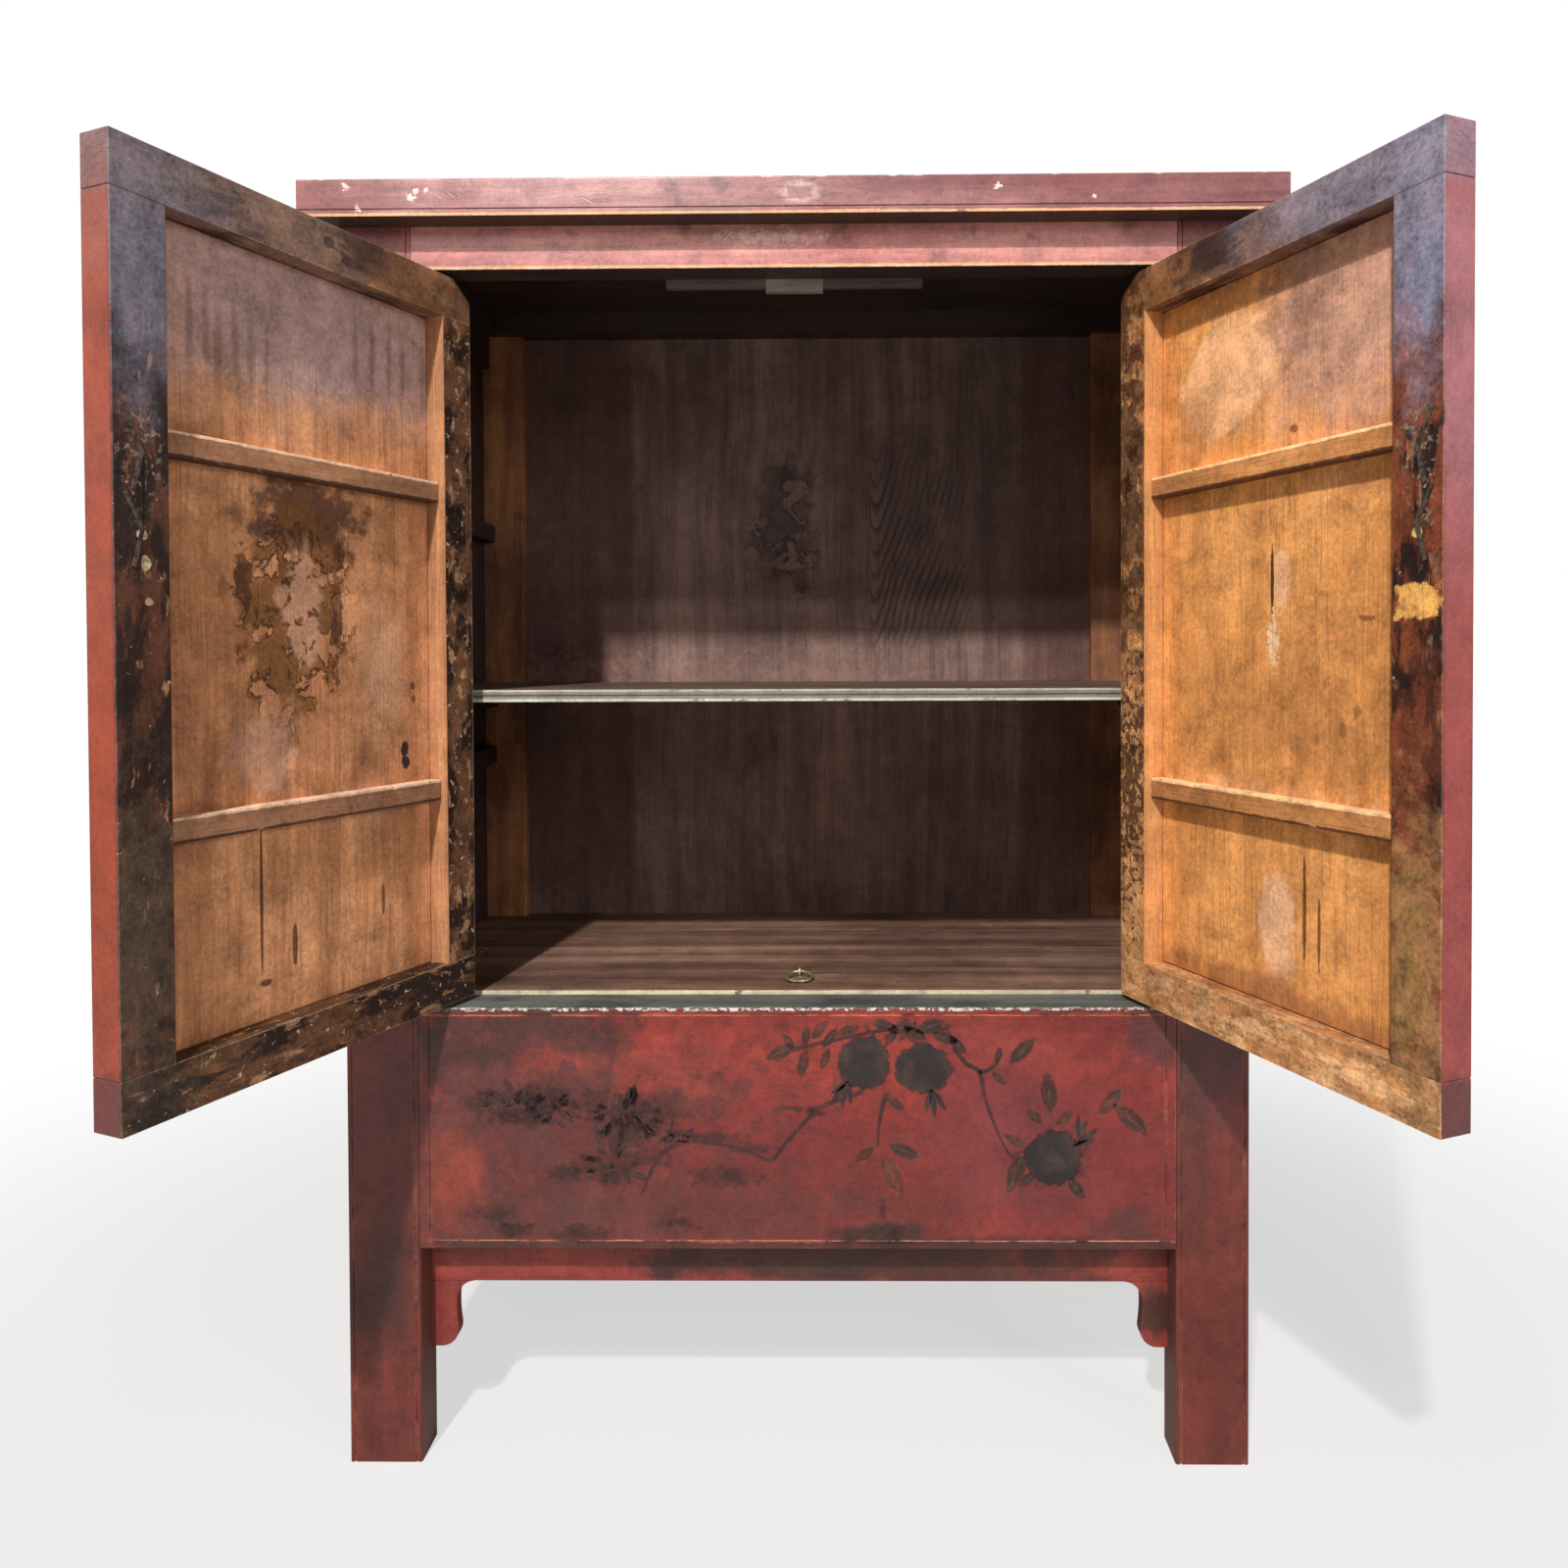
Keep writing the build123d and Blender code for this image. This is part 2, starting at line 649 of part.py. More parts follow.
def make_doors():
    """Both leaves, turned open about their pivots."""
    rail_z_top = (leaf_top - door_rail_height, leaf_top)
    rail_z_low = (leaf_bottom, leaf_bottom + door_rail_height)
    stile_z = (rail_z_low[1], rail_z_top[0])
    face = face_span((0.0, door_thickness))
    envelope = leaf_envelope()

    tongue_n = door_panel_setback + (door_panel_thickness - door_panel_tongue) / 2
    tongue_y = face_span((tongue_n, tongue_n + door_panel_tongue))
    panel_s = (hinge_stile_width, leaf_length - free_stile_width)
    tongue_x = leaf_span(grown(panel_s, groove_depth))
    tongue_z = grown(stile_z, groove_depth)
    groove = panel_groove(tongue_x, tongue_y, tongue_z)

    # The pivots are turned on the ends of the hinge stile
    upper_end = frieze_bottom + upper_pivot_engagement
    lower_end = sill_top - lower_pivot_engagement
    radius = pivot_diameter / 2
    hinge_stile = block(leaf_span((0.0, hinge_stile_width)), face, stile_z) & envelope
    hinge_stile = hinge_stile + pivot_tenon((leaf_bottom, leaf_top))
    hinge_stile = hinge_stile + rod((pivot_x, pivot_y, leaf_top), (pivot_x, pivot_y, upper_end), radius)
    hinge_stile = hinge_stile + rod((pivot_x, pivot_y, lower_end), (pivot_x, pivot_y, leaf_bottom), radius)

    tenon_z_low = (rail_z_low[1] - stile_tenon_length, rail_z_low[1])
    tenon_z_top = (rail_z_top[0], rail_z_top[0] + stile_tenon_length)
    free_x = leaf_span((leaf_length - free_stile_width, leaf_length))
    free_stile = block(free_x, face, stile_z) + free_tenon(tenon_z_low) + free_tenon(tenon_z_top)

    def door_rail(z, free_tenon_z):
        """Door rail across the whole leaf, mortised for both stiles."""
        rail = block(leaf_span((0.0, leaf_length)), face, z) & envelope
        reach = grown(free_tenon_z, joint_clearance)
        return drilled(rail, groove, pivot_tenon(grown(z, cut_overshoot), tenon_clearance),
                       free_tenon(reach, tenon_clearance))

    holes = [pin_hole(level) for level in (staple_level, pull_level)]
    panel = block(leaf_span(grown(panel_s, -joint_clearance)),
                  face_span((door_panel_setback, door_panel_setback + door_panel_thickness)),
                  grown(stile_z, -joint_clearance))
    panel = panel + block(tongue_x, tongue_y, tongue_z)
    batten_n = door_panel_setback + door_panel_thickness
    battens = []
    for level in batten_levels:
        battens.append(block(leaf_span(grown(panel_s, -batten_end_gap)),
                             face_span((batten_n, batten_n + batten_thickness)),
                             (level, level + batten_height)))

    leaf = {
        "top_rail": door_rail(rail_z_top, tenon_z_top),
        "bottom_rail": door_rail(rail_z_low, tenon_z_low),
        "hinge_stile": hinge_stile - groove,
        "free_stile": drilled(free_stile, groove, *holes),
        "panel": panel,
        "battens": group(battens),
    }
    leaf.update(door_hardware())
    for name, piece in leaf.items():
        turned = piece.rotate(Axis((pivot_x, pivot_y, 0), (0, 0, 1)), -door_open_angle)
        both_sides("door_" + name, turned)


def split_pin(x, level, hole):
    """Eye on the outer face with a shank and two legs bent on the inner face."""
    eye_radius = (hole + eye_wire) / 2
    eye_centre = (x, door_setback - eye_radius - eye_wire / 2, level)
    eye = ring(eye_centre, (1, 0, 0), eye_radius, eye_wire)
    shank = rod((x, eye_centre[1] + eye_radius, level),
                (x, door_back + split_leg_thickness, level), eye_wire / 2)
    leg = block((-split_leg_width / 2, split_leg_width / 2),
                (door_back, door_back + split_leg_thickness), (0.0, split_leg_length))
    pin = eye + shank
    for turn in (split_leg_spread, 180.0 - split_leg_spread / 2):
        pin = pin + Pos(x, 0, level) * Rot(0, turn, 0) * leg
    return pin


def door_hardware():
    """Padlock staple above and a ring pull below, each on its split pin."""
    x = leaf_start + leaf_length - free_stile_width / 2
    pull_eye_radius = (eye_hole + eye_wire) / 2
    eye_y = door_setback - pull_eye_radius - eye_wire / 2
    radius = pull_ring_diameter / 2
    hang = (eye_hole - pull_ring_wire) / 2 - ring_clearance
    pull = ring((x, eye_y, pull_level - radius - hang), (0, 1, 0), radius, pull_ring_wire)
    return {
        "split_pins": group([split_pin(x, staple_level, staple_hole),
                             split_pin(x, pull_level, eye_hole)]),
        "pull": pull,
    }


# ---------------------------------------------------------------- ring of the lid
lid_ring_y = lid_front + lid_ring_from_front


def lid_pin_hole():
    """Hole through the lid and its rose for the split pin of the ring."""
    return rod((0, lid_ring_y, floor_bottom - cut_overshoot),
               (0, lid_ring_y, floor_top + lid_rose_thickness + cut_overshoot),
               eye_wire / 2 + lid_pin_clearance)


def make_lid_ring():
    """Ring lying forward of its split pin, and the oval rose under it."""
    eye_radius = (lid_eye_hole + eye_wire) / 2
    rose_top = floor_top + lid_rose_thickness
    eye_z = rose_top + eye_radius + eye_wire / 2
    eye = ring((0, lid_ring_y, eye_z), (1, 0, 0), eye_radius, eye_wire)
    shank = rod((0, lid_ring_y, floor_bottom - lid_pin_tail),
                (0, lid_ring_y, rose_top + eye_wire), eye_wire / 2)
    nodes["lid_ring_pin"] = eye + shank
    place = Pos(0, lid_ring_y - lid_rose_forward, floor_top)
    rose = extrude(place * Ellipse(lid_rose_width / 2, lid_rose_length / 2),
                   amount=lid_rose_thickness)
    nodes["lid_rose"] = rose - lid_pin_hole()
    radius = lid_ring_diameter / 2
    hang = (lid_eye_hole - lid_ring_wire) / 2 - ring_clearance
    # The near edge of the ring lies just above the rose
    rise = eye_z - (rose_top + lid_ring_wire / 2 + ring_clearance)
    tilt = math.degrees(math.asin(rise / (2 * radius + hang)))
    flat = ring((0, -radius - hang, 0), (0, 0, 1), radius, lid_ring_wire)
    nodes["lid_ring"] = Pos(0, lid_ring_y, eye_z) * Rot(tilt, 0, 0) * flat


# ---------------------------------------------------------------- build and write
def write_parts():
    """Move the origin to the bottom centre and write one file per piece."""
    os.makedirs("parts", exist_ok=True)
    boxes = [piece.bounding_box() for piece in nodes.values()]
    x_shift = -(min(b.min.X for b in boxes) + max(b.max.X for b in boxes)) / 2
    y_shift = -(min(b.min.Y for b in boxes) + max(b.max.Y for b in boxes)) / 2
    print(f"origin shift x {x_shift:.4f} y {y_shift:.4f}")
    for name, piece in nodes.items():
        export_step(Pos(x_shift, y_shift, 0) * piece, f"parts/{name}.step")
    print(f"{len(nodes)} pieces")


make_posts()
make_front()
make_sides()
make_rear()
make_shelf()
make_floor()
make_crown()
make_stop()
make_doors()
make_lid_ring()
write_parts()
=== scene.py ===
"""Looks of a worn red-lacquered two-door cabinet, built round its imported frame.

Every joint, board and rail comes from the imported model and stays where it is.
This script gives them their finishes, softens their edges, and adds the
painted fruit branch of the lower front, the floor, the lamps and the camera.
"""
from __future__ import annotations

import json
import logging
import math
import random
from dataclasses import dataclass
from enum import Enum
from typing import Callable, Optional, Sequence, Union

import bmesh
import bpy
from mathutils import Matrix, Vector

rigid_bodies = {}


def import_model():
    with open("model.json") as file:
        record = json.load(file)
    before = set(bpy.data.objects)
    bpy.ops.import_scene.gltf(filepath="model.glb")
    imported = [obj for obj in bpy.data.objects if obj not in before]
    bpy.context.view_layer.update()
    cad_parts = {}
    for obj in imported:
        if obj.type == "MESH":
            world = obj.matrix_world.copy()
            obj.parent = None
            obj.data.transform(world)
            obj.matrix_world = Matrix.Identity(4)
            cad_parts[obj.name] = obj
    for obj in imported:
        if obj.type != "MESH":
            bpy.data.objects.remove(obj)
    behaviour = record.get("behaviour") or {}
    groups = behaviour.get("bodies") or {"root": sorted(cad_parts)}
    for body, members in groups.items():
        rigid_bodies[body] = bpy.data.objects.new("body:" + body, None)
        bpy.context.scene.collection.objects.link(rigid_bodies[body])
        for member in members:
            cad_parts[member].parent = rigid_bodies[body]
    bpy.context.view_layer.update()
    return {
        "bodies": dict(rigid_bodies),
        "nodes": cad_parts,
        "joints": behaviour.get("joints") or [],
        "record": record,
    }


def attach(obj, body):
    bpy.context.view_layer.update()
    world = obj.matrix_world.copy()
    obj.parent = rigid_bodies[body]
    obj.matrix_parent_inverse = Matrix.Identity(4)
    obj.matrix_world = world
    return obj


log = logging.getLogger("wedding_cabinet")

# Shared by every shader; the relief is the height of the bump, in metres
DULL_SHEEN = 0.28
COAT_ROUGHNESS = 0.25
RELIEF = 0.001

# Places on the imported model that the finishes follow, in metres
LEAF_LENGTH = 0.5165
LEAF_THICKNESS = 0.042
PANEL_FACE = 0.012
BATTEN_FEET = (0.919, 1.325)
BATTEN_HEIGHT = 0.028
FRONT_FACE = -0.0801546
SIDE_WOOD_EDGE = 0.597
REAR_POST_WOOD_EDGE = 0.6192

# Depth beyond every piece, for a mark that no depth limits
NO_LIMIT = 9.0

# Blender's socket types, and where its Mix node takes two numbers or two colours
FLOAT, VECTOR = "NodeSocketFloat", "NodeSocketVector"
MIXED_NUMBERS, MIXED_COLOURS = (2, 3), (6, 7)

Socket = bpy.types.NodeSocket
Value = Union[float, Sequence[float], Socket]
Colour = tuple[float, float, float, float]
Point = tuple[float, float, float]


def srgb(red: int, green: int, blue: int) -> Colour:
    """Linear colour with full alpha from 8-bit display values.

    Args:
        red: red, 0 to 255.
        green: green, 0 to 255.
        blue: blue, 0 to 255.

    Returns:
        The colour for a socket.
    """
    parts = [channel / 255 for channel in (red, green, blue)]
    linear = [c / 12.92 if c <= 0.04045 else ((c + 0.055) / 1.055) ** 2.4 for c in parts]
    return (linear[0], linear[1], linear[2], 1.0)


class Grain(Enum):
    """Direction in which the fibres of a piece run, as the turn that brings it upright."""

    ACROSS = (0.0, math.pi / 2, 0.0)
    DEEP = (math.pi / 2, 0.0, 0.0)
    UPRIGHT = (0.0, 0.0, 0.0)


class Side(Enum):
    """Left or right, by the sign that mirrors it onto the left."""

    LEFT = 1.0
    RIGHT = -1.0

    @property
    def prefix(self) -> str:
        """Start of the node names of this side."""
        return self.name.lower() + "_"


# --------------------------------------------------------------------------- nodes
class Graph:
    """Adds and links shader nodes in one node tree."""

    def __init__(self, tree: bpy.types.NodeTree) -> None:
        """Start on a tree.

        Args:
            tree: the material's or group's node tree.
        """
        self.tree = tree
        self.count = 0

    def add(self, kind: str, **settings: object) -> bpy.types.Node:
        """Add a node.

        Args:
            kind: Blender's name of the node type.
            **settings: properties to set on it.

        Returns:
            The new node.
        """
        node = self.tree.nodes.new(kind)
        for key, value in settings.items():
            setattr(node, key, value)
        node.location = (200 * (self.count % 14), -260 * (self.count // 14))
        self.count += 1
        return node

    def feed(self, socket: Socket, value: Optional[Value]) -> None:
        """Link a socket, or set its plain value.

        Args:
            socket: the input.
            value: an output socket, a plain value, or None to leave it.
        """
        if isinstance(value, bpy.types.NodeSocket):
            self.tree.links.new(value, socket)
        elif value is not None:
            socket.default_value = value

    def math(self, operation: str, first: Value, second: Optional[Value] = None,
             third: Optional[Value] = None) -> Socket:
        """One step of arithmetic on numbers.

        Args:
            operation: the Math node's operation.
            first: left operand.
            second: right operand.
            third: third operand, where the operation has one.

        Returns:
            The result.
        """
        node = self.add("ShaderNodeMath", operation=operation)
        for socket, value in zip(node.inputs, (first, second, third)):
            self.feed(socket, value)
        return node.outputs[0]

    def product(self, *factors: Value) -> Value:
        """The product of several numbers.

        Args:
            *factors: the numbers.

        Returns:
            Their product.
        """
        result = factors[0]
        for factor in factors[1:]:
            result = self.math("MULTIPLY", result, factor)
        return result

    def vector(self, operation: str, first: Value, second: Optional[Value] = None) -> Socket:
        """One step of vector arithmetic.

        Args:
            operation: the Vector Math node's operation.
            first: left operand.
            second: right operand.

        Returns:
            The vector, or the number for a dot product or length.
        """
        node = self.add("ShaderNodeVectorMath", operation=operation)
        self.feed(node.inputs[0], first)
        self.feed(node.inputs[1], second)
        return node.outputs["Value" if operation in ("DOT_PRODUCT", "LENGTH") else "Vector"]

    def split(self, vector: Value) -> tuple[Socket, Socket, Socket]:
        """The three numbers of a vector.

        Args:
            vector: the vector.

        Returns:
            Its X, Y and Z.
        """
        node = self.add("ShaderNodeSeparateXYZ")
        self.feed(node.inputs[0], vector)
        return node.outputs[0], node.outputs[1], node.outputs[2]

    def join(self, x: Value, y: Value, z: Value) -> Socket:
        """A vector from three numbers.

        Args:
            x: first number.
            y: second number.
            z: third number.

        Returns:
            The vector.
        """
        node = self.add("ShaderNodeCombineXYZ")
        for socket, value in zip(node.inputs, (x, y, z)):
            self.feed(socket, value)
        return node.outputs[0]

    def noise(self, where: Value, scale: Value, detail: float = 4.0, roughness: float = 0.55,
              distortion: float = 0.0) -> Socket:
        """Noise between 0 and 1.

        Args:
            where: coordinates.
            scale: how many features fit in a metre.
            detail: number of finer layers.
            roughness: strength of the finer layers.
            distortion: how far the pattern is bent.

        Returns:
            The noise value.
        """
        node = self.add("ShaderNodeTexNoise")
        self.feed(node.inputs["Vector"], where)
        self.feed(node.inputs["Scale"], scale)
        node.inputs["Detail"].default_value = detail
        node.inputs["Roughness"].default_value = roughness
        node.inputs["Distortion"].default_value = distortion
        return node.outputs["Fac"]

    def span(self, value: Value, low: Value, high: Value, start: Value = 0.0,
             end: Value = 1.0) -> Socket:
        """A number mapped smoothly from one range to another, and kept in it.

        Args:
            value: the number.
            low: where the first range starts.
            high: where it ends.
            start: result at low.
            end: result at high.

        Returns:
            The mapped number.
        """
        node = self.add("ShaderNodeMapRange", interpolation_type="SMOOTHSTEP")
        for socket, entry in zip(node.inputs, (value, low, high, start, end)):
            self.feed(socket, entry)
        return node.outputs[0]

    def mix(self, share: Value, under: Value, over: Value) -> Socket:
        """Two colours mixed.

        Args:
            share: how much of the upper colour shows.
            under: colour at share 0.
            over: colour at share 1.

        Returns:
            The mixed colour.
        """
        node = self.add("ShaderNodeMix", data_type="RGBA")
        self.feed(node.inputs[0], share)
        for place, value in zip(MIXED_COLOURS, (under, over)):
            self.feed(node.inputs[place], value)
        return node.outputs[2]

    def blend(self, share: Value, under: Value, over: Value) -> Socket:
        """Two numbers mixed.

        Args:
            share: how much of the upper number counts.
            under: number at share 0.
            over: number at share 1.

        Returns:
            The mixed number.
        """
        node = self.add("ShaderNodeMix", data_type="FLOAT")
        self.feed(node.inputs[0], share)
        for place, value in zip(MIXED_NUMBERS, (under, over)):
            self.feed(node.inputs[place], value)
        return node.outputs[0]

    def choose(self, share: Value, first: bpy.types.Node, second: bpy.types.Node, output: str) -> None:
        """Send one of two shaders, or a mix of them, to the output.

        Args:
            share: how much of the second shows.
            first: shader node at share 0.
            second: shader node at share 1.
            output: Blender's name of the output node's type.
        """
        choice = self.add("ShaderNodeMixShader")
        for socket, value in zip(choice.inputs, (share, first.outputs[0], second.outputs[0])):
            self.feed(socket, value)
        self.feed(self.add(output).inputs["Surface"], choice.outputs[0])

    def stained(self, where: Value, scale: Value, cover: float, softness: float) -> Socket:
        """Mask of ragged patches of one size."""
        return self.effect("stains", Vector=where, Scale=scale, Cover=cover, Softness=softness)["Mask"]

    def effect(self, name: str, **values: Value) -> bpy.types.bpy_prop_collection:
        """Place a shared effect.

        Args:
            name: the effect's name.
            **values: its inputs by name.

        Returns:
            The effect's outputs.
        """
        node = self.add("ShaderNodeGroup")
        node.node_tree = bpy.data.node_groups[name]
        for key, value in values.items():
            self.feed(node.inputs[key], value)
        return node.outputs


class Effect:
    """A node group under construction: its tree, inputs and output node."""

    def __init__(self, name: str, inputs: dict[str, float], outputs: Sequence[str],
                 vectors: Sequence[str] = ("Vector",)) -> None:
        """Start a group with named sockets.

        Args:
            name: the group's name.
            inputs: number inputs and their defaults.
            outputs: its outputs, numbers but for one called Place.
            vectors: vector inputs.
        """
        self.tree = bpy.data.node_groups.new(name, "ShaderNodeTree")
        for title in vectors:
            self.tree.interface.new_socket(title, in_out="INPUT", socket_type=VECTOR)
        for title, default in inputs.items():
            socket = self.tree.interface.new_socket(title, in_out="INPUT", socket_type=FLOAT)
            socket.default_value = default
        for title in outputs:
            kind = VECTOR if title == "Place" else FLOAT
            self.tree.interface.new_socket(title, in_out="OUTPUT", socket_type=kind)
        self.graph = Graph(self.tree)
        self.given = self.graph.add("NodeGroupInput").outputs
        self.leave = self.graph.add("NodeGroupOutput").inputs

    def done(self, **results: Socket) -> None:
        """Link the outputs.

        Args:
            **results: what each output gives.
        """
        for title, socket in results.items():
            self.tree.links.new(socket, self.leave[title])


class Effects:
    """Shared effects, each a node group that a graph finds by its name."""

    def build(self) -> None:
        """Build every group once."""
        for group in (self.worn_edges, self.stains, self.fibres, self.arches, self.spot, self.peel,
                      self.leaf_place, self.crackle, self.mottle):
            group()

    @staticmethod
    def worn_edges() -> None:
        """Edges rubbed through: Mask is 1 where a corner has lost its coat."""
        effect = Effect("worn_edges", {"Radius": 0.003, "Amount": 1.0}, ["Mask"])
        graph, given = effect.graph, effect.given
        soft = graph.add("ShaderNodeBevel", samples=6)
        graph.feed(soft.inputs["Radius"], given["Radius"])
        flat = graph.add("ShaderNodeNewGeometry")
        bend = graph.math("SUBTRACT", 1.0,
                          graph.vector("DOT_PRODUCT", soft.outputs[0], flat.outputs["True Normal"]))
        edge = graph.span(bend, 0.01, 0.16)
        rub = graph.noise(given["Vector"], 46.0, 6.0, 0.75)
        patch = graph.noise(given["Vector"], 6.0, 2.0)
        worn = graph.math("MULTIPLY_ADD", patch, 0.8, rub)
        share = graph.product(edge, worn, given["Amount"])
        effect.done(Mask=graph.span(share, 0.62, 0.86))

    @staticmethod
    def stains() -> None:
        """Ragged patches that cover about the given share of a surface."""
        effect = Effect("stains", {"Scale": 4.0, "Cover": 0.3, "Softness": 0.06}, ["Mask"])
        graph, given = effect.graph, effect.given
        noise = graph.noise(given["Vector"], given["Scale"], 7.0, 0.62, 0.3)
        level = graph.math("MULTIPLY_ADD", given["Cover"], -0.44, 0.72)
        effect.done(Mask=graph.span(
            noise, graph.math("SUBTRACT", level, given["Softness"]),
            graph.math("ADD", level, given["Softness"])))

    @staticmethod
    def fibres() -> None:
        """Straight grain along the local Z axis: broad streaks and fine pores."""
        effect = Effect("fibres", {"Scale": 40.0}, ["Streaks", "Pores"])
        graph, given = effect.graph, effect.given
        x, y, z = graph.split(given["Vector"])
        bend = graph.product(graph.noise(given["Vector"], 2.5, 2.0), 0.06)
        drawn = graph.join(graph.math("ADD", x, bend), y, graph.product(z, 0.045))
        fine = graph.join(x, y, graph.product(z, 0.03))
        streaks = graph.span(graph.noise(drawn, given["Scale"], 6.0, 0.62), 0.32, 0.68)
        pores = graph.noise(fine, graph.product(given["Scale"], 9.0), 3.0, 0.6)
        effect.done(Streaks=streaks, Pores=graph.span(pores, 0.52, 0.68))

    @staticmethod
    def arches() -> None:
        """Flat-sawn figure: nested arches with their tips down, steeper to the left."""
        effect = Effect("arches", {"Spacing": 0.055, "Left": 7.5, "Right": 2.7}, ["Lines"],
                        ("Vector", "Centre"))
        graph, given = effect.graph, effect.given
        x, _, z = graph.split(graph.vector("SUBTRACT", given["Vector"], given["Centre"]))
        sway = graph.math("MULTIPLY_ADD", graph.noise(given["Vector"], 4.0, 2.0), 0.05, -0.025)
        ripple = graph.product(graph.noise(given["Vector"], 24.0, 3.0), 0.02)
        across = graph.math("ADD", x, sway)
        rounded = graph.math("SQRT", graph.math("MULTIPLY_ADD", across, across, 0.00006))
        slope = graph.blend(graph.span(across, -0.012, 0.012), given["Left"], given["Right"])
        level = graph.math("SUBTRACT", graph.math("ADD", z, ripple), graph.product(rounded, slope))
        turn = graph.math("FRACT", graph.math("DIVIDE", level, given["Spacing"]))
        effect.done(Lines=graph.product(graph.span(turn, 0.35, 0.9), graph.span(turn, 1.0, 0.94)))

    @staticmethod
    def spot() -> None:
        """One ragged patch at a place: 1 inside and 0 outside, round or square."""
        effect = Effect("spot", {"Ragged": 0.5, "Grit": 30.0, "Soft": 0.15, "Boxy": 0.0}, ["Mask"],
                        ("Vector", "Centre", "Size"))
        graph, given = effect.graph, effect.given
        off = graph.vector("DIVIDE", graph.vector("SUBTRACT", given["Vector"], given["Centre"]),
                           given["Size"])
        x, y, z = graph.split(graph.vector("ABSOLUTE", off))
        square = graph.math("MAXIMUM", x, graph.math("MAXIMUM", y, z))
        far = graph.blend(given["Boxy"], graph.vector("LENGTH", off), square)
        noise = graph.math("SUBTRACT", graph.noise(given["Vector"], given["Grit"], 4.0, 0.65), 0.5)
        reach = graph.math("ADD", far, graph.product(noise, given["Ragged"], 4.0))
        effect.done(Mask=graph.span(reach, graph.math("ADD", 1.0, given["Soft"]),
                                    graph.math("SUBTRACT", 1.0, given["Soft"])))

    @staticmethod
    def peel() -> None:
        """Peeling film: Film is 1 where it still sticks, Rim along its broken edge."""
        effect = Effect("peel", {"Scale": 26.0, "Level": 0.5}, ["Film", "Rim"])
        graph, given = effect.graph, effect.given
        noise = graph.noise(given["Vector"], given["Scale"], 5.0, 0.58, 0.5)
        off = graph.math("SUBTRACT", noise, given["Level"])
        film = graph.span(off, -0.008, 0.008)
        effect.done(Film=film, Rim=graph.span(graph.math("ABSOLUTE", off), 0.035, 0.006))

    @staticmethod
    def leaf_place() -> None:
        """Place on a door leaf: X from the hinge edge, Y from the outer face, Z up."""
        effect = Effect("leaf_place", {"Side": 1.0}, ["Place"])
        graph, given = effect.graph, effect.given
        x, y, z = graph.split(given["Vector"])
        same = graph.join(graph.product(x, given["Side"]), y, z)
        turn = graph.add("ShaderNodeVectorRotate", rotation_type="Z_AXIS")
        graph.feed(turn.inputs["Vector"], graph.vector("SUBTRACT", same, DoorLeaf.PIVOT))
        turn.inputs["Angle"].default_value = math.radians(DoorLeaf.OPEN_DEGREES)
        effect.done(Place=graph.vector("ADD", turn.outputs[0], DoorLeaf.PIVOT_ON_LEAF))

    @staticmethod
    def crackle() -> None:
        """Fine cracks of an old coat, mostly along the local Z axis."""
        effect = Effect("crackle", {"Scale": 60.0, "Width": 0.03}, ["Mask"])
        graph, given = effect.graph, effect.given
        x, y, z = graph.split(given["Vector"])
        bend = graph.product(graph.noise(given["Vector"], 12.0, 3.0), 0.02)
        drawn = graph.join(graph.math("ADD", x, bend), y, graph.product(z, 0.25))
        cells = graph.add("ShaderNodeTexVoronoi", feature="DISTANCE_TO_EDGE")
        graph.feed(cells.inputs["Vector"], drawn)
        graph.feed(cells.inputs["Scale"], given["Scale"])
        line = graph.span(cells.outputs["Distance"], given["Width"], 0.0)
        where = graph.span(graph.noise(given["Vector"], 6.0, 3.0), 0.48, 0.62)
        effect.done(Mask=graph.product(line, where))

    @staticmethod
    def mottle() -> None:
        """Uneven handling and dirt: Gain brightens or darkens a colour about 1."""
        effect = Effect("mottle", {"Depth": 0.3}, ["Gain"])
        graph, given = effect.graph, effect.given
        broad = graph.math("SUBTRACT", graph.noise(given["Vector"], 19.0, 9.0, 0.74, 0.4), 0.5)
        fine = graph.math("SUBTRACT", graph.noise(given["Vector"], 170.0, 5.0, 0.8), 0.5)
        both = graph.math("MULTIPLY_ADD", fine, 2.6, graph.product(broad, 3.6))
        gain = graph.math("MULTIPLY_ADD", both, given["Depth"], 1.0)
        effect.done(Gain=graph.math("MAXIMUM", gain, 0.3))


# --------------------------------------------------------------------------- marks
@dataclass
class Layers:
    """What a surface shows: colour, roughness and height, as sockets."""

    colour: Socket
    roughness: Socket
    height: Socket


def over(graph: Graph, share: Value, under: Layers, top: Layers) -> Layers:
    """One surface laid over another.

    Args:
        graph: the material's graph.
        share: how much of the upper one shows.
        under: the lower surface.
        top: the upper surface.

    Returns:
        The combined surface.
    """
    return Layers(graph.mix(share, under.colour, top.colour),
                  graph.blend(share, under.roughness, top.roughness),
                  graph.blend(share, under.height, top.height))


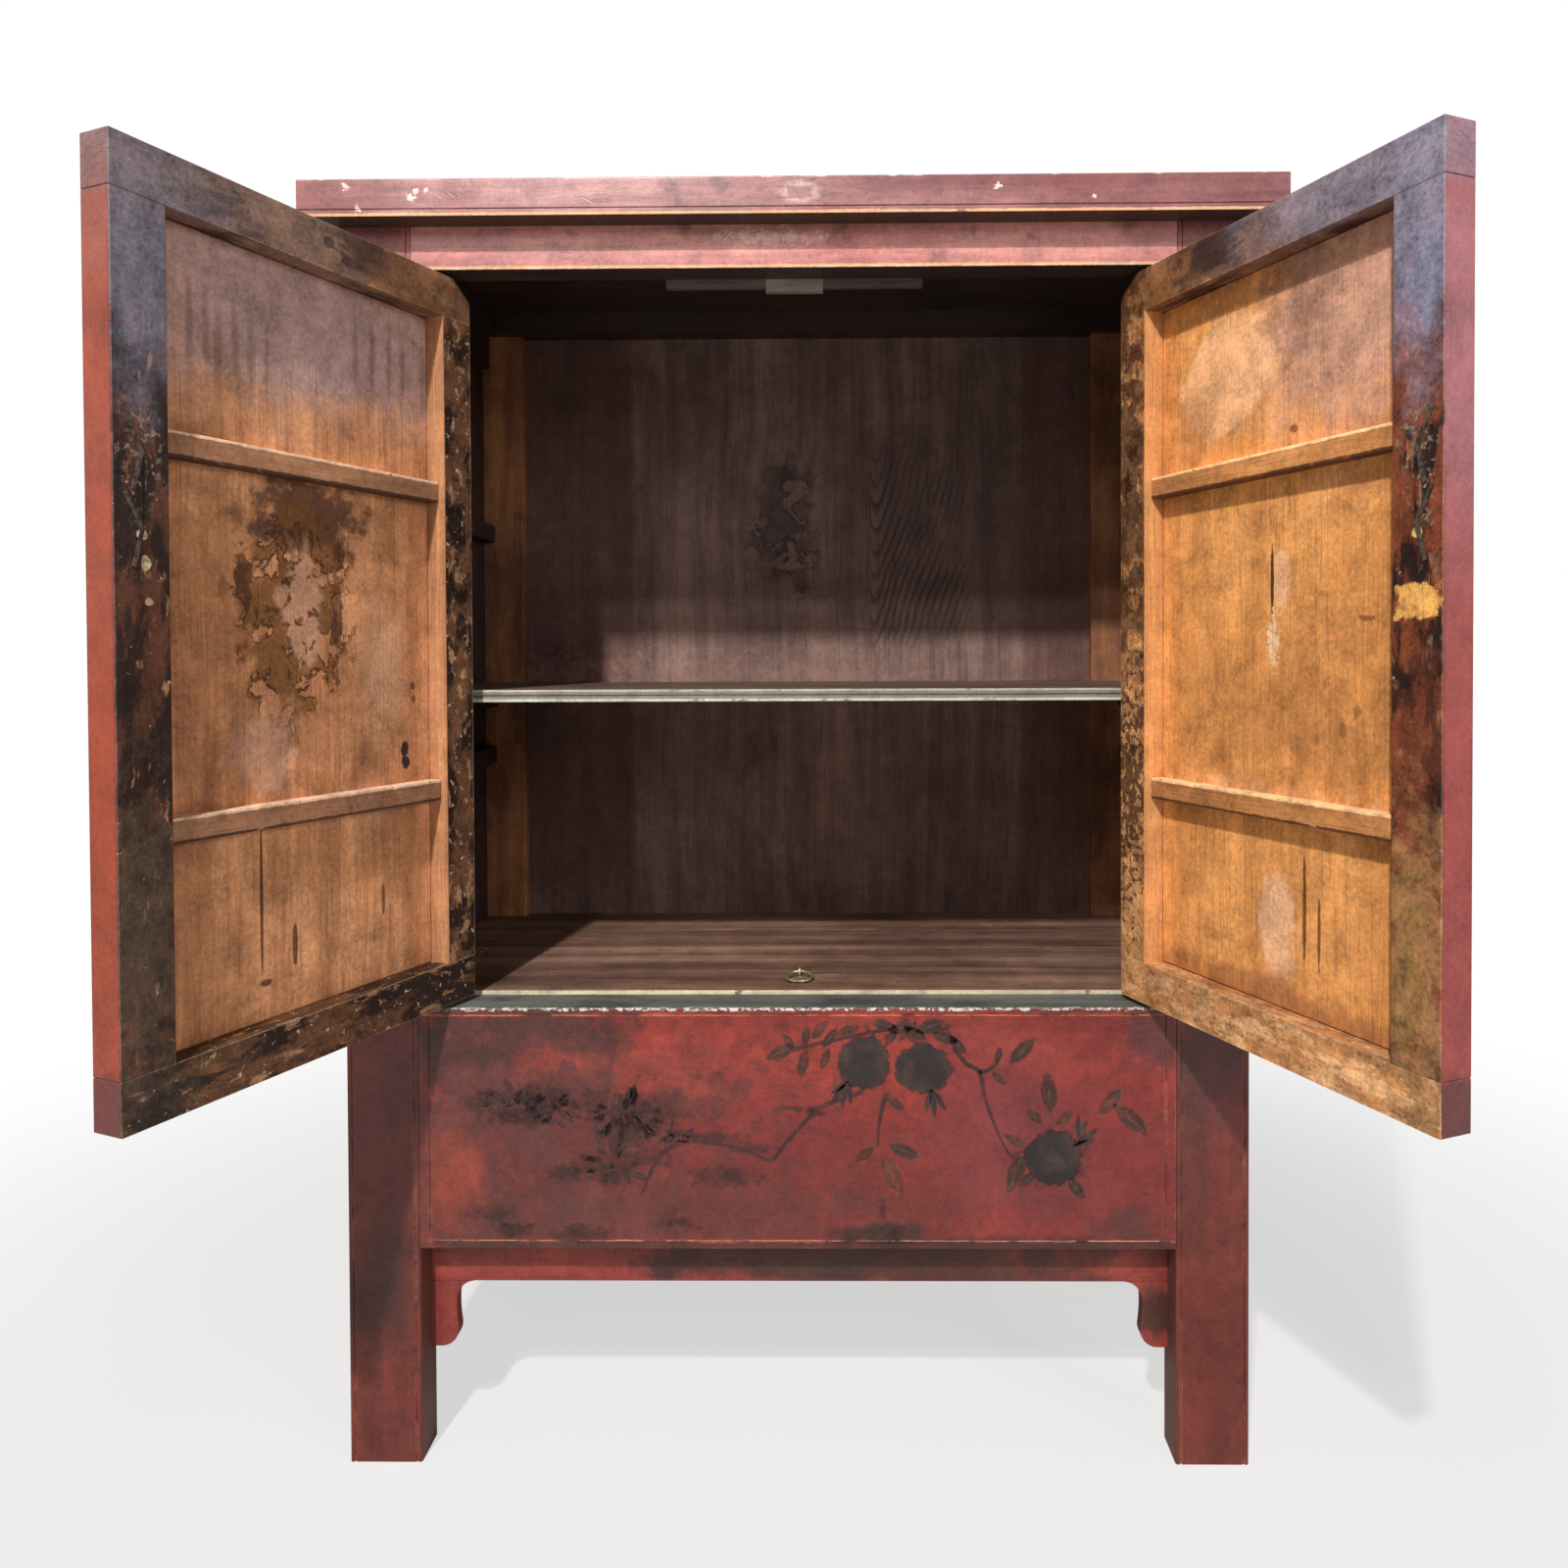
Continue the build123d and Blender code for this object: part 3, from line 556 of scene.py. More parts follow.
@dataclass(frozen=True)
class Patch:
    """A stain or repair at one place."""

    centre: Point
    size: Point
    colour: Colour
    strength: float = 1.0
    ragged: float = 0.5
    grit: float = 30.0
    soft: float = 0.15
    boxy: float = 0.0

    def mask(self, graph: Graph, where: Socket) -> Socket:
        """Where the patch lies.

        Args:
            graph: the material's graph.
            where: coordinates of the surface.

        Returns:
            1 inside and 0 outside.
        """
        return graph.effect("spot", Vector=where, Centre=self.centre, Size=self.size,
                            Ragged=self.ragged, Grit=self.grit, Soft=self.soft, Boxy=self.boxy)["Mask"]

    def paint(self, graph: Graph, where: Socket, base: Layers) -> Layers:
        """Lay the patch over a surface.

        Args:
            graph: the material's graph.
            where: coordinates of the surface.
            base: the surface.

        Returns:
            The marked surface.
        """
        share = graph.product(self.mask(graph, where), self.strength)
        return Layers(graph.mix(share, base.colour, self.colour), base.roughness, base.height)


@dataclass(frozen=True)
class Peeling(Patch):
    """A place where a film flakes off, with a darker broken edge."""

    rim: Colour = srgb(60, 40, 30)
    level: float = 0.5
    flakes: float = 26.0

    def paint(self, graph: Graph, where: Socket, base: Layers) -> Layers:
        """Lay the flaking film over a surface.

        Args:
            graph: the material's graph.
            where: coordinates of the surface.
            base: the surface.

        Returns:
            The marked surface.
        """
        inside = graph.product(self.mask(graph, where), self.strength)
        film = graph.effect("peel", Vector=where, Scale=self.flakes, Level=self.level)
        share = graph.product(inside, film["Film"])
        colour = graph.mix(share, base.colour, self.colour)
        colour = graph.mix(graph.product(inside, film["Rim"]), colour, self.rim)
        return Layers(colour, base.roughness, graph.math("MULTIPLY_ADD", share, 0.5, base.height))


@dataclass(frozen=True)
class Line:
    """A broken line between two levels of one coordinate, such as a rubbed edge."""

    axis: int
    low: float
    high: float
    colour: Colour
    share: float = 0.6
    grit: float = 60.0
    before: float = NO_LIMIT
    wave: float = 0.0015

    def paint(self, graph: Graph, where: Socket, base: Layers) -> Layers:
        """Lay the line over a surface.

        Args:
            graph: the material's graph.
            where: coordinates of the surface.
            base: the surface.

        Returns:
            The marked surface.
        """
        parts = graph.split(where)
        bend = graph.math("MULTIPLY_ADD", graph.noise(where, self.grit * 1.7, 3.0), 2 * self.wave, -self.wave)
        level = graph.math("ADD", parts[self.axis], bend)
        left = graph.stained(where, self.grit, self.share, 0.05)
        share = graph.product(graph.span(level, self.low - 0.0006, self.low + 0.0006),
                              graph.span(level, self.high + 0.0006, self.high - 0.0006),
                              graph.math("LESS_THAN", parts[1], self.before), left)
        return Layers(graph.mix(share, base.colour, self.colour),
                      graph.blend(share, base.roughness, 0.7), base.height)


Mark = Union[Patch, Line]


def marked(graph: Graph, where: Socket, base: Layers, marks: Sequence[Mark],
           depth: float = 0.42) -> Layers:
    """A surface with its marks on, the lowest first, and uneven dirt over all.

    Args:
        graph: the material's graph.
        where: coordinates in which the marks are placed.
        base: the surface.
        marks: the marks.
        depth: contrast of the dirt.

    Returns:
        The marked surface.
    """
    for mark in marks:
        base = mark.paint(graph, where, base)
    gain = graph.effect("mottle", Vector=where, Depth=depth)["Gain"]
    tinted = graph.vector("MULTIPLY", base.colour, graph.join(gain, gain, gain))
    return Layers(tinted, base.roughness, graph.math("MULTIPLY_ADD", gain, 0.5, base.height))


def turned(graph: Graph, where: Socket, grain: Grain) -> Socket:
    """Coordinates turned so that the fibres run along Z.

    Args:
        graph: the material's graph.
        where: coordinates of the piece.
        grain: direction of the fibres.

    Returns:
        The turned coordinates.
    """
    if grain is Grain.UPRIGHT:
        return where
    node = graph.add("ShaderNodeMapping")
    graph.feed(node.inputs["Vector"], where)
    node.inputs["Rotation"].default_value = grain.value
    return node.outputs[0]


# --------------------------------------------------------------------------- finishes
@dataclass(frozen=True)
class RedLacquer:
    """Old red lacquer: faded, darkened in patches and rubbed through at its edges."""

    base: Colour = srgb(134, 52, 46)
    faded: Colour = srgb(152, 62, 50)
    deep: Colour = srgb(98, 38, 38)
    tarnish: Colour = srgb(62, 38, 36)
    undercoat: Colour = srgb(206, 146, 112)
    cover: float = 0.22
    patch_scale: float = 5.0
    streaks: float = 0.45
    wear: float = 1.0
    edge_radius: float = 0.003
    gloss: float = 0.4
    calm: tuple[Patch, ...] = ()

    def layers(self, graph: Graph, where: Socket, grain: Grain) -> Layers:
        """Lay out the lacquer.

        Args:
            graph: the material's graph.
            where: coordinates of the piece.
            grain: direction of the wood underneath.

        Returns:
            The lacquered surface.
        """
        along = turned(graph, where, grain)
        fibres = graph.effect("fibres", Vector=along, Scale=26.0)
        broad = graph.noise(where, 3.4, 5.0, 0.62)
        colour = graph.mix(graph.span(broad, 0.36, 0.64), self.base, self.faded)
        colour = graph.mix(graph.product(fibres["Streaks"], self.streaks), colour, self.deep)
        patches = graph.stained(where, self.patch_scale, self.cover, 0.09)
        small = graph.stained(where, 30.0, 0.08 + self.cover * 0.4, 0.06)
        specks = graph.stained(where, 150.0, 0.06, 0.03)
        dark = graph.math("MAXIMUM", graph.product(patches, 0.8),
                          graph.product(small, 0.5))
        dark = graph.math("MAXIMUM", dark, graph.product(specks, 0.55))
        cracks = graph.effect("crackle", Vector=along, Scale=110.0, Width=0.03)
        dark = graph.math("MAXIMUM", dark, graph.product(cracks["Mask"], 0.2))
        drawn = graph.vector("MULTIPLY", along, (1.0, 1.0, 0.12))
        brushed = graph.span(graph.noise(drawn, 70.0, 6.0, 0.7), 0.40, 0.66)
        dark = graph.math("MAXIMUM", dark, graph.product(brushed, self.streaks * 0.5))
        coated = graph.mix(dark, colour, self.tarnish)
        bare = graph.effect("worn_edges", Vector=where, Radius=self.edge_radius,
                            Amount=self.wear)["Mask"]
        for box in self.calm:
            bare = graph.product(bare, graph.math("SUBTRACT", 1.0, box.mask(graph, where)))
        chips = graph.stained(where, 85.0, -0.06, 0.015)
        bare = graph.math("MAXIMUM", bare, graph.product(chips, 0.6))
        rough = graph.blend(graph.noise(where, 14.0, 4.0), self.gloss - 0.12, self.gloss + 0.18)
        low = graph.product(graph.math("ADD", bare, cracks["Mask"]), -0.6)
        height = graph.math("MULTIPLY_ADD", fibres["Streaks"], 0.4, low)
        height = graph.math("MULTIPLY_ADD", graph.noise(where, 70.0, 4.0), 0.35, height)
        return Layers(graph.mix(bare, coated, self.undercoat), graph.blend(bare, rough, 0.75), height)


@dataclass(frozen=True)
class BareWood:
    """Unpainted wood, darkened by age, with grain, pores and water marks."""

    pale: Colour = srgb(196, 142, 96)
    dark: Colour = srgb(140, 92, 60)
    stain: Colour = srgb(92, 62, 46)
    cover: float = 0.12
    grain_scale: float = 42.0
    stain_scale: float = 7.0
    streaks: float = 0.6
    edge: Optional[Colour] = None
    edge_amount: float = 0.95
    roughness: float = 0.62

    def layers(self, graph: Graph, where: Socket, grain: Grain) -> Layers:
        """Lay out the wood.

        Args:
            graph: the material's graph.
            where: coordinates of the piece.
            grain: direction of the fibres.

        Returns:
            The bare surface.
        """
        along = turned(graph, where, grain)
        fibres = graph.effect("fibres", Vector=along, Scale=self.grain_scale)
        x, y, z = graph.split(along)
        drawn = graph.join(x, y, graph.product(z, 0.4))
        cloudy = graph.span(graph.noise(drawn, 6.0, 5.0, 0.6), 0.34, 0.66)
        colour = graph.mix(graph.product(cloudy, 0.6), self.pale, self.dark)
        colour = graph.mix(graph.product(fibres["Streaks"], self.streaks), colour, self.dark)
        colour = graph.mix(graph.product(fibres["Pores"], 0.3), colour, self.stain)
        marks = graph.stained(drawn, self.stain_scale, self.cover, 0.07)
        specks = graph.stained(drawn, 90.0, 0.04, 0.03)
        colour = graph.mix(graph.math("MAXIMUM", graph.product(marks, 0.6),
                                      graph.product(specks, 0.55)), colour, self.stain)
        if self.edge is not None:
            rubbed = graph.effect("worn_edges", Vector=where, Radius=0.003, Amount=self.edge_amount)
            colour = graph.mix(graph.product(rubbed["Mask"], 0.85), colour, self.edge)
        rough = graph.blend(graph.noise(where, 20.0, 3.0), self.roughness - 0.1, self.roughness + 0.15)
        height = graph.math("MULTIPLY_ADD", fibres["Pores"], -0.6,
                            graph.product(fibres["Streaks"], 0.6))
        return Layers(colour, rough, height)


@dataclass(frozen=True)
class ScuffedFrame:
    """Inner side of a door frame: nearly black varnish, flaked and scuffed to the wood."""

    varnish: Colour = srgb(36, 22, 20)
    brown: Colour = srgb(96, 57, 42)
    wood: Colour = srgb(164, 116, 80)
    scuff: Colour = srgb(190, 168, 138)
    brown_cover: float = 0.4
    wood_cover: float = 0.06
    scuff_cover: float = 0.0
    scale: float = 26.0
    stretch: float = 0.35

    def layers(self, graph: Graph, where: Socket, grain: Grain) -> Layers:
        """Lay out the varnish and what shows through it.

        Args:
            graph: the material's graph.
            where: coordinates of the leaf.
            grain: direction of the fibres.

        Returns:
            The scuffed surface.
        """
        along = turned(graph, where, grain)
        fibres = graph.effect("fibres", Vector=along, Scale=34.0)
        x, y, z = graph.split(along)
        drawn = graph.join(x, y, graph.product(z, self.stretch))
        brown = graph.stained(drawn, self.scale * 0.7, self.brown_cover, 0.05)
        bare = graph.stained(drawn, self.scale * 1.6, self.wood_cover, 0.035)
        scuffs = graph.stained(where, 95.0, self.scuff_cover, 0.02)
        grime = graph.stained(where, 60.0, 0.3, 0.1)
        colour = graph.mix(brown, self.varnish, self.brown)
        colour = graph.mix(graph.product(bare, 0.9), colour, self.wood)
        colour = graph.mix(graph.product(fibres["Streaks"], 0.4), colour, self.varnish)
        colour = graph.mix(graph.product(grime, 0.2), colour, self.varnish)
        rubbed = graph.effect("worn_edges", Vector=where, Radius=0.003, Amount=1.0)
        light = graph.math("MAXIMUM", scuffs, graph.product(rubbed["Mask"], 0.9))
        colour = graph.mix(graph.product(light, 0.85), colour, self.scuff)
        height = graph.math("MULTIPLY_ADD", bare, -0.8,
                            graph.product(fibres["Streaks"], 0.5))
        height = graph.math("MULTIPLY_ADD", graph.noise(where, 80.0, 3.0), 0.4, height)
        return Layers(colour, graph.blend(bare, 0.42, 0.7), height)


@dataclass(frozen=True)
class OldMetal:
    """Hand-made metal fitting, dull and uneven."""

    clean: Colour = srgb(214, 202, 164)
    dull: Colour = srgb(128, 110, 76)
    roughness: float = 0.36

    def layers(self, graph: Graph, where: Socket, _: Grain) -> Layers:
        """Lay out the metal.

        Args:
            graph: the material's graph.
            where: coordinates of the piece.

        Returns:
            The metal surface.
        """
        film = graph.stained(where, 120.0, 0.45, 0.12)
        rough = graph.blend(film, self.roughness, self.roughness + 0.25)
        return Layers(graph.mix(film, self.clean, self.dull), rough,
                      graph.product(graph.noise(where, 420.0, 3.0), 0.6))


Finish = Union[RedLacquer, BareWood, ScuffedFrame, OldMetal]


# --------------------------------------------------------------------------- helpers
def emptied(block: Union[bpy.types.Material, bpy.types.World]) -> Graph:
    """Give a material or world an empty node tree.

    Args:
        block: the material or world.

    Returns:
        The graph of its tree.
    """
    block.use_nodes = True
    block.node_tree.nodes.clear()
    return Graph(block.node_tree)


def build_material(name: str, paint: Callable[[Graph, Socket], Layers], coat: float = 0.0,
                   bump: float = 0.5, metal: float = 0.0) -> bpy.types.Material:
    """Make a material from a function that lays out its surface.

    Args:
        name: the material's name.
        paint: takes the graph and the object coordinates, returns the surface.
        coat: weight of the clear coat.
        bump: strength of the relief.
        metal: how metallic the surface is.

    Returns:
        The material.
    """
    material = bpy.data.materials.new(name)
    graph = emptied(material)
    layers = paint(graph, graph.add("ShaderNodeTexCoord").outputs["Object"])
    shader = graph.add("ShaderNodeBsdfPrincipled")
    graph.feed(shader.inputs["Base Color"], layers.colour)
    graph.feed(shader.inputs["Roughness"], layers.roughness)
    shader.inputs["Metallic"].default_value = metal
    shader.inputs["Specular IOR Level"].default_value = DULL_SHEEN
    shader.inputs["Coat Weight"].default_value = coat
    shader.inputs["Coat Roughness"].default_value = COAT_ROUGHNESS
    relief = graph.add("ShaderNodeBump")
    relief.inputs["Strength"].default_value = bump
    relief.inputs["Distance"].default_value = RELIEF
    graph.feed(relief.inputs["Height"], layers.height)
    graph.feed(shader.inputs["Normal"], relief.outputs[0])
    graph.feed(graph.add("ShaderNodeOutputMaterial").inputs["Surface"], shader.outputs[0])
    return material


def soften(node: bpy.types.Object, width: float) -> None:
    """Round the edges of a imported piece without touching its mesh.

    Args:
        node: the piece.
        width: width of the rounding, in metres.
    """
    weld = node.modifiers.new("joined_faces", "WELD")
    weld.merge_threshold = 2e-5
    rounding = node.modifiers.new("softened_edges", "BEVEL")
    rounding.width = width
    rounding.segments = 2
    rounding.limit_method = "ANGLE"
    rounding.angle_limit = math.radians(40)
    rounding.use_clamp_overlap = True
    level = node.modifiers.new("flat_faces", "WEIGHTED_NORMAL")
    level.weight = 80


def dress(node: bpy.types.Object, material: bpy.types.Material) -> None:
    """Give every material slot of a piece the same material.

    Args:
        node: the piece.
        material: its material.
    """
    if not node.material_slots:
        node.data.materials.append(material)
    for slot in node.material_slots:
        slot.material = material


# --------------------------------------------------------------------------- the doors
@dataclass
class DoorLeaf:
    """One door leaf: lacquered outside and on its edges, bare or scuffed inside.

    Marks are placed on the leaf: across from the hinge edge, in from the outer
    face, and up from the floor.
    """

    PIVOT = (-0.488, -0.0551546, 0.0)
    PIVOT_ON_LEAF = (0.030, 0.019, 0.0)
    OPEN_DEGREES = 112.0

    side: Side
    nodes: dict[str, bpy.types.Object]
    outside: RedLacquer
    panel: BareWood
    battens: BareWood
    free_stile: ScuffedFrame
    hinge_stile: ScuffedFrame
    top_rail: ScuffedFrame
    bottom_rail: ScuffedFrame
    # the panel, frame and edge marks also hold painted sheen near the top of the leaf
    panel_marks: tuple[Mark, ...] = ()
    frame_marks: tuple[Mark, ...] = ()
    edge_marks: tuple[Mark, ...] = ()
    # painted highlight and shadow along the battens' edges
    batten_marks: tuple[Mark, ...] = ()
    # pale bare wood of the hinge stile's edge towards the panel, pale partly as painted light
    rebate: BareWood = BareWood()
    stile_width: float = 0.053
    panel_edge: float = 0.457
    rounding: float = 0.0014

    def place(self, graph: Graph, where: Socket) -> Socket:
        """Coordinates on the leaf from the piece's own."""
        return graph.effect("leaf_place", Vector=where, Side=self.side.value)["Place"]

    def framed(self, name: str, frame: ScuffedFrame, grain: Grain,
               bare_lit_edge: bool = False) -> bpy.types.Material:
        """Material of a frame piece: scuffed inside, lacquered elsewhere.

        Args:
            name: the material's name.
            frame: the finish of its inner side.
            grain: direction of the fibres on the leaf.
            bare_lit_edge: leave its edge towards the panel in pale bare wood, pale partly as painted light.

        Returns:
            The material.
        """
        def paint(graph: Graph, where: Socket) -> Layers:
            """Lay out a frame piece.

            Args:
                graph: the material's graph.
                where: the piece's own coordinates.

            Returns:
                The surface.
            """
            place = self.place(graph, where)
            lacquer = self.outside.layers(graph, place, grain)
            lacquer = marked(graph, place, lacquer, self.edge_marks)
            inner = frame.layers(graph, place, grain)
            inner = marked(graph, place, inner, self.frame_marks, 0.9)
            along, depth, _ = graph.split(place)
            # the stile's edge towards the panel: pale bare wood, lightened partly as painted light on the
            # side of the recess
            if bare_lit_edge:
                wood = self.rebate.layers(graph, place, grain)
                wood = marked(graph, place, wood, ())
                inner = over(graph, graph.span(along, self.stile_width - 0.0024, self.stile_width - 0.0004),
                             inner, wood)
            ragged = graph.product(graph.noise(place, 55.0, 4.0), 0.004)
            inside = graph.span(graph.math("ADD", depth, ragged), LEAF_THICKNESS + 0.0002,
                                LEAF_THICKNESS + 0.0016)
            rebate = graph.math("LESS_THAN", along, self.panel_edge)
            behind = graph.math("GREATER_THAN", depth, PANEL_FACE)
            inside = graph.math("MAXIMUM", inside, graph.product(rebate, behind))
            return over(graph, inside, lacquer, inner)
        return build_material(name, paint, coat=0.12, bump=0.7)

    def panelled(self, name: str, wood: BareWood, grain: Grain) -> bpy.types.Material:
        """Material of the panel or its battens, lacquered on the outer face.

        Args:
            name: the material's name.
            wood: the bare wood of the inner side.
            grain: direction of the fibres on the leaf.

        Returns:
            The material.
        """
        def paint(graph: Graph, where: Socket) -> Layers:
            """Lay out the panel or its battens.

            Args:
                graph: the material's graph.
                where: the piece's own coordinates.

            Returns:
                The surface.
            """
            place = self.place(graph, where)
            inner = wood.layers(graph, place, grain)
            if grain is Grain.ACROSS:
                return marked(graph, place, inner, self.batten_marks, 0.6)
            inner = marked(graph, place, inner, self.panel_marks, 0.6)
            lacquer = self.outside.layers(graph, place, grain)
            return over(graph, graph.span(graph.split(place)[1], 0.004, 0.006), lacquer, inner)
        return build_material(name, paint, coat=0.05)

    def build(self) -> None:
        """Give every piece of the leaf its finish."""
        head = self.side.prefix + "door_"
        plan = {
            "free_stile": self.framed(head + "free_stile_finish", self.free_stile, Grain.UPRIGHT),
            "hinge_stile": self.framed(head + "hinge_stile_finish", self.hinge_stile, Grain.UPRIGHT, True),
            "top_rail": self.framed(head + "top_rail_finish", self.top_rail, Grain.ACROSS),
            "bottom_rail": self.framed(head + "bottom_rail_finish", self.bottom_rail, Grain.ACROSS),
            "panel": self.panelled(head + "panel_finish", self.panel, Grain.UPRIGHT),
            "battens": self.panelled(head + "batten_finish", self.battens, Grain.ACROSS),
        }
        for part, material in plan.items():
            dress(self.nodes[head + part], material)
            soften(self.nodes[head + part], self.rounding)
        log.info("%sdoor dressed", self.side.prefix)


def batten_edges(light: Colour, dark: Colour) -> tuple[Mark, ...]:
    """Painted highlight along the upper edges and painted shadow along the lower edges of the two battens.

    Args:
        light: colour of the painted highlight.
        dark: colour of the painted shadow.

    Returns:
        The marks.
    """
    marks: list[Mark] = []
    for foot in BATTEN_FEET:
        head = foot + BATTEN_HEIGHT
        # painted highlight on the upper edge, painted shadow on the lower edge
        marks.append(Line(2, head - 0.0036, head + 0.001, light, 0.75, 40.0))
        marks.append(Line(2, foot - 0.001, foot + 0.0034, dark, 0.85, 40.0))
    return tuple(marks)


def on_panel(along: float, up: float, wide: float, high: float, *look: object, **more: float) -> Patch:
    """Patch on the bare side of a door panel, at a place along the leaf and up."""
    return Patch((along, PANEL_FACE, up), (wide, 0.01, high), *look, **more)


def on_frame(along: float, up: float, wide: float, high: float, *look: object) -> Patch:
    """Patch on the inner side of a door frame, at a place along the leaf and up."""
    return Patch((along, LEAF_THICKNESS, up), (wide, 0.012, high), *look)


def on_edge(up: float, high: float, *look: object) -> Patch:
    """Patch across the meeting edge of a leaf, at a height."""
    return Patch((LEAF_LENGTH, 0.02, up), (0.02, 0.05, high), *look)


def leaf_lacquer(undercoat: Colour) -> RedLacquer:
    """Lacquer of a leaf's outer face and edges.

    Args:
        undercoat: what shows where it is rubbed through.

    Returns:
        The finish.
    """
    return RedLacquer(base=srgb(132, 52, 46), faded=srgb(150, 64, 54), deep=srgb(106, 42, 40), cover=0.16,
                      patch_scale=3.6, streaks=0.5, wear=1.1, undercoat=undercoat)


def handled_edge(tint: Colour) -> Patch:
    """Tint of the meeting edge, which hands have rubbed most.

    Args:
        tint: its colour.

    Returns:
        The mark.
    """
    return Patch((LEAF_LENGTH, 0.021, 1.135), (0.0018, 0.0185, 0.54), tint, 0.85, 0.0, boxy=1.0)


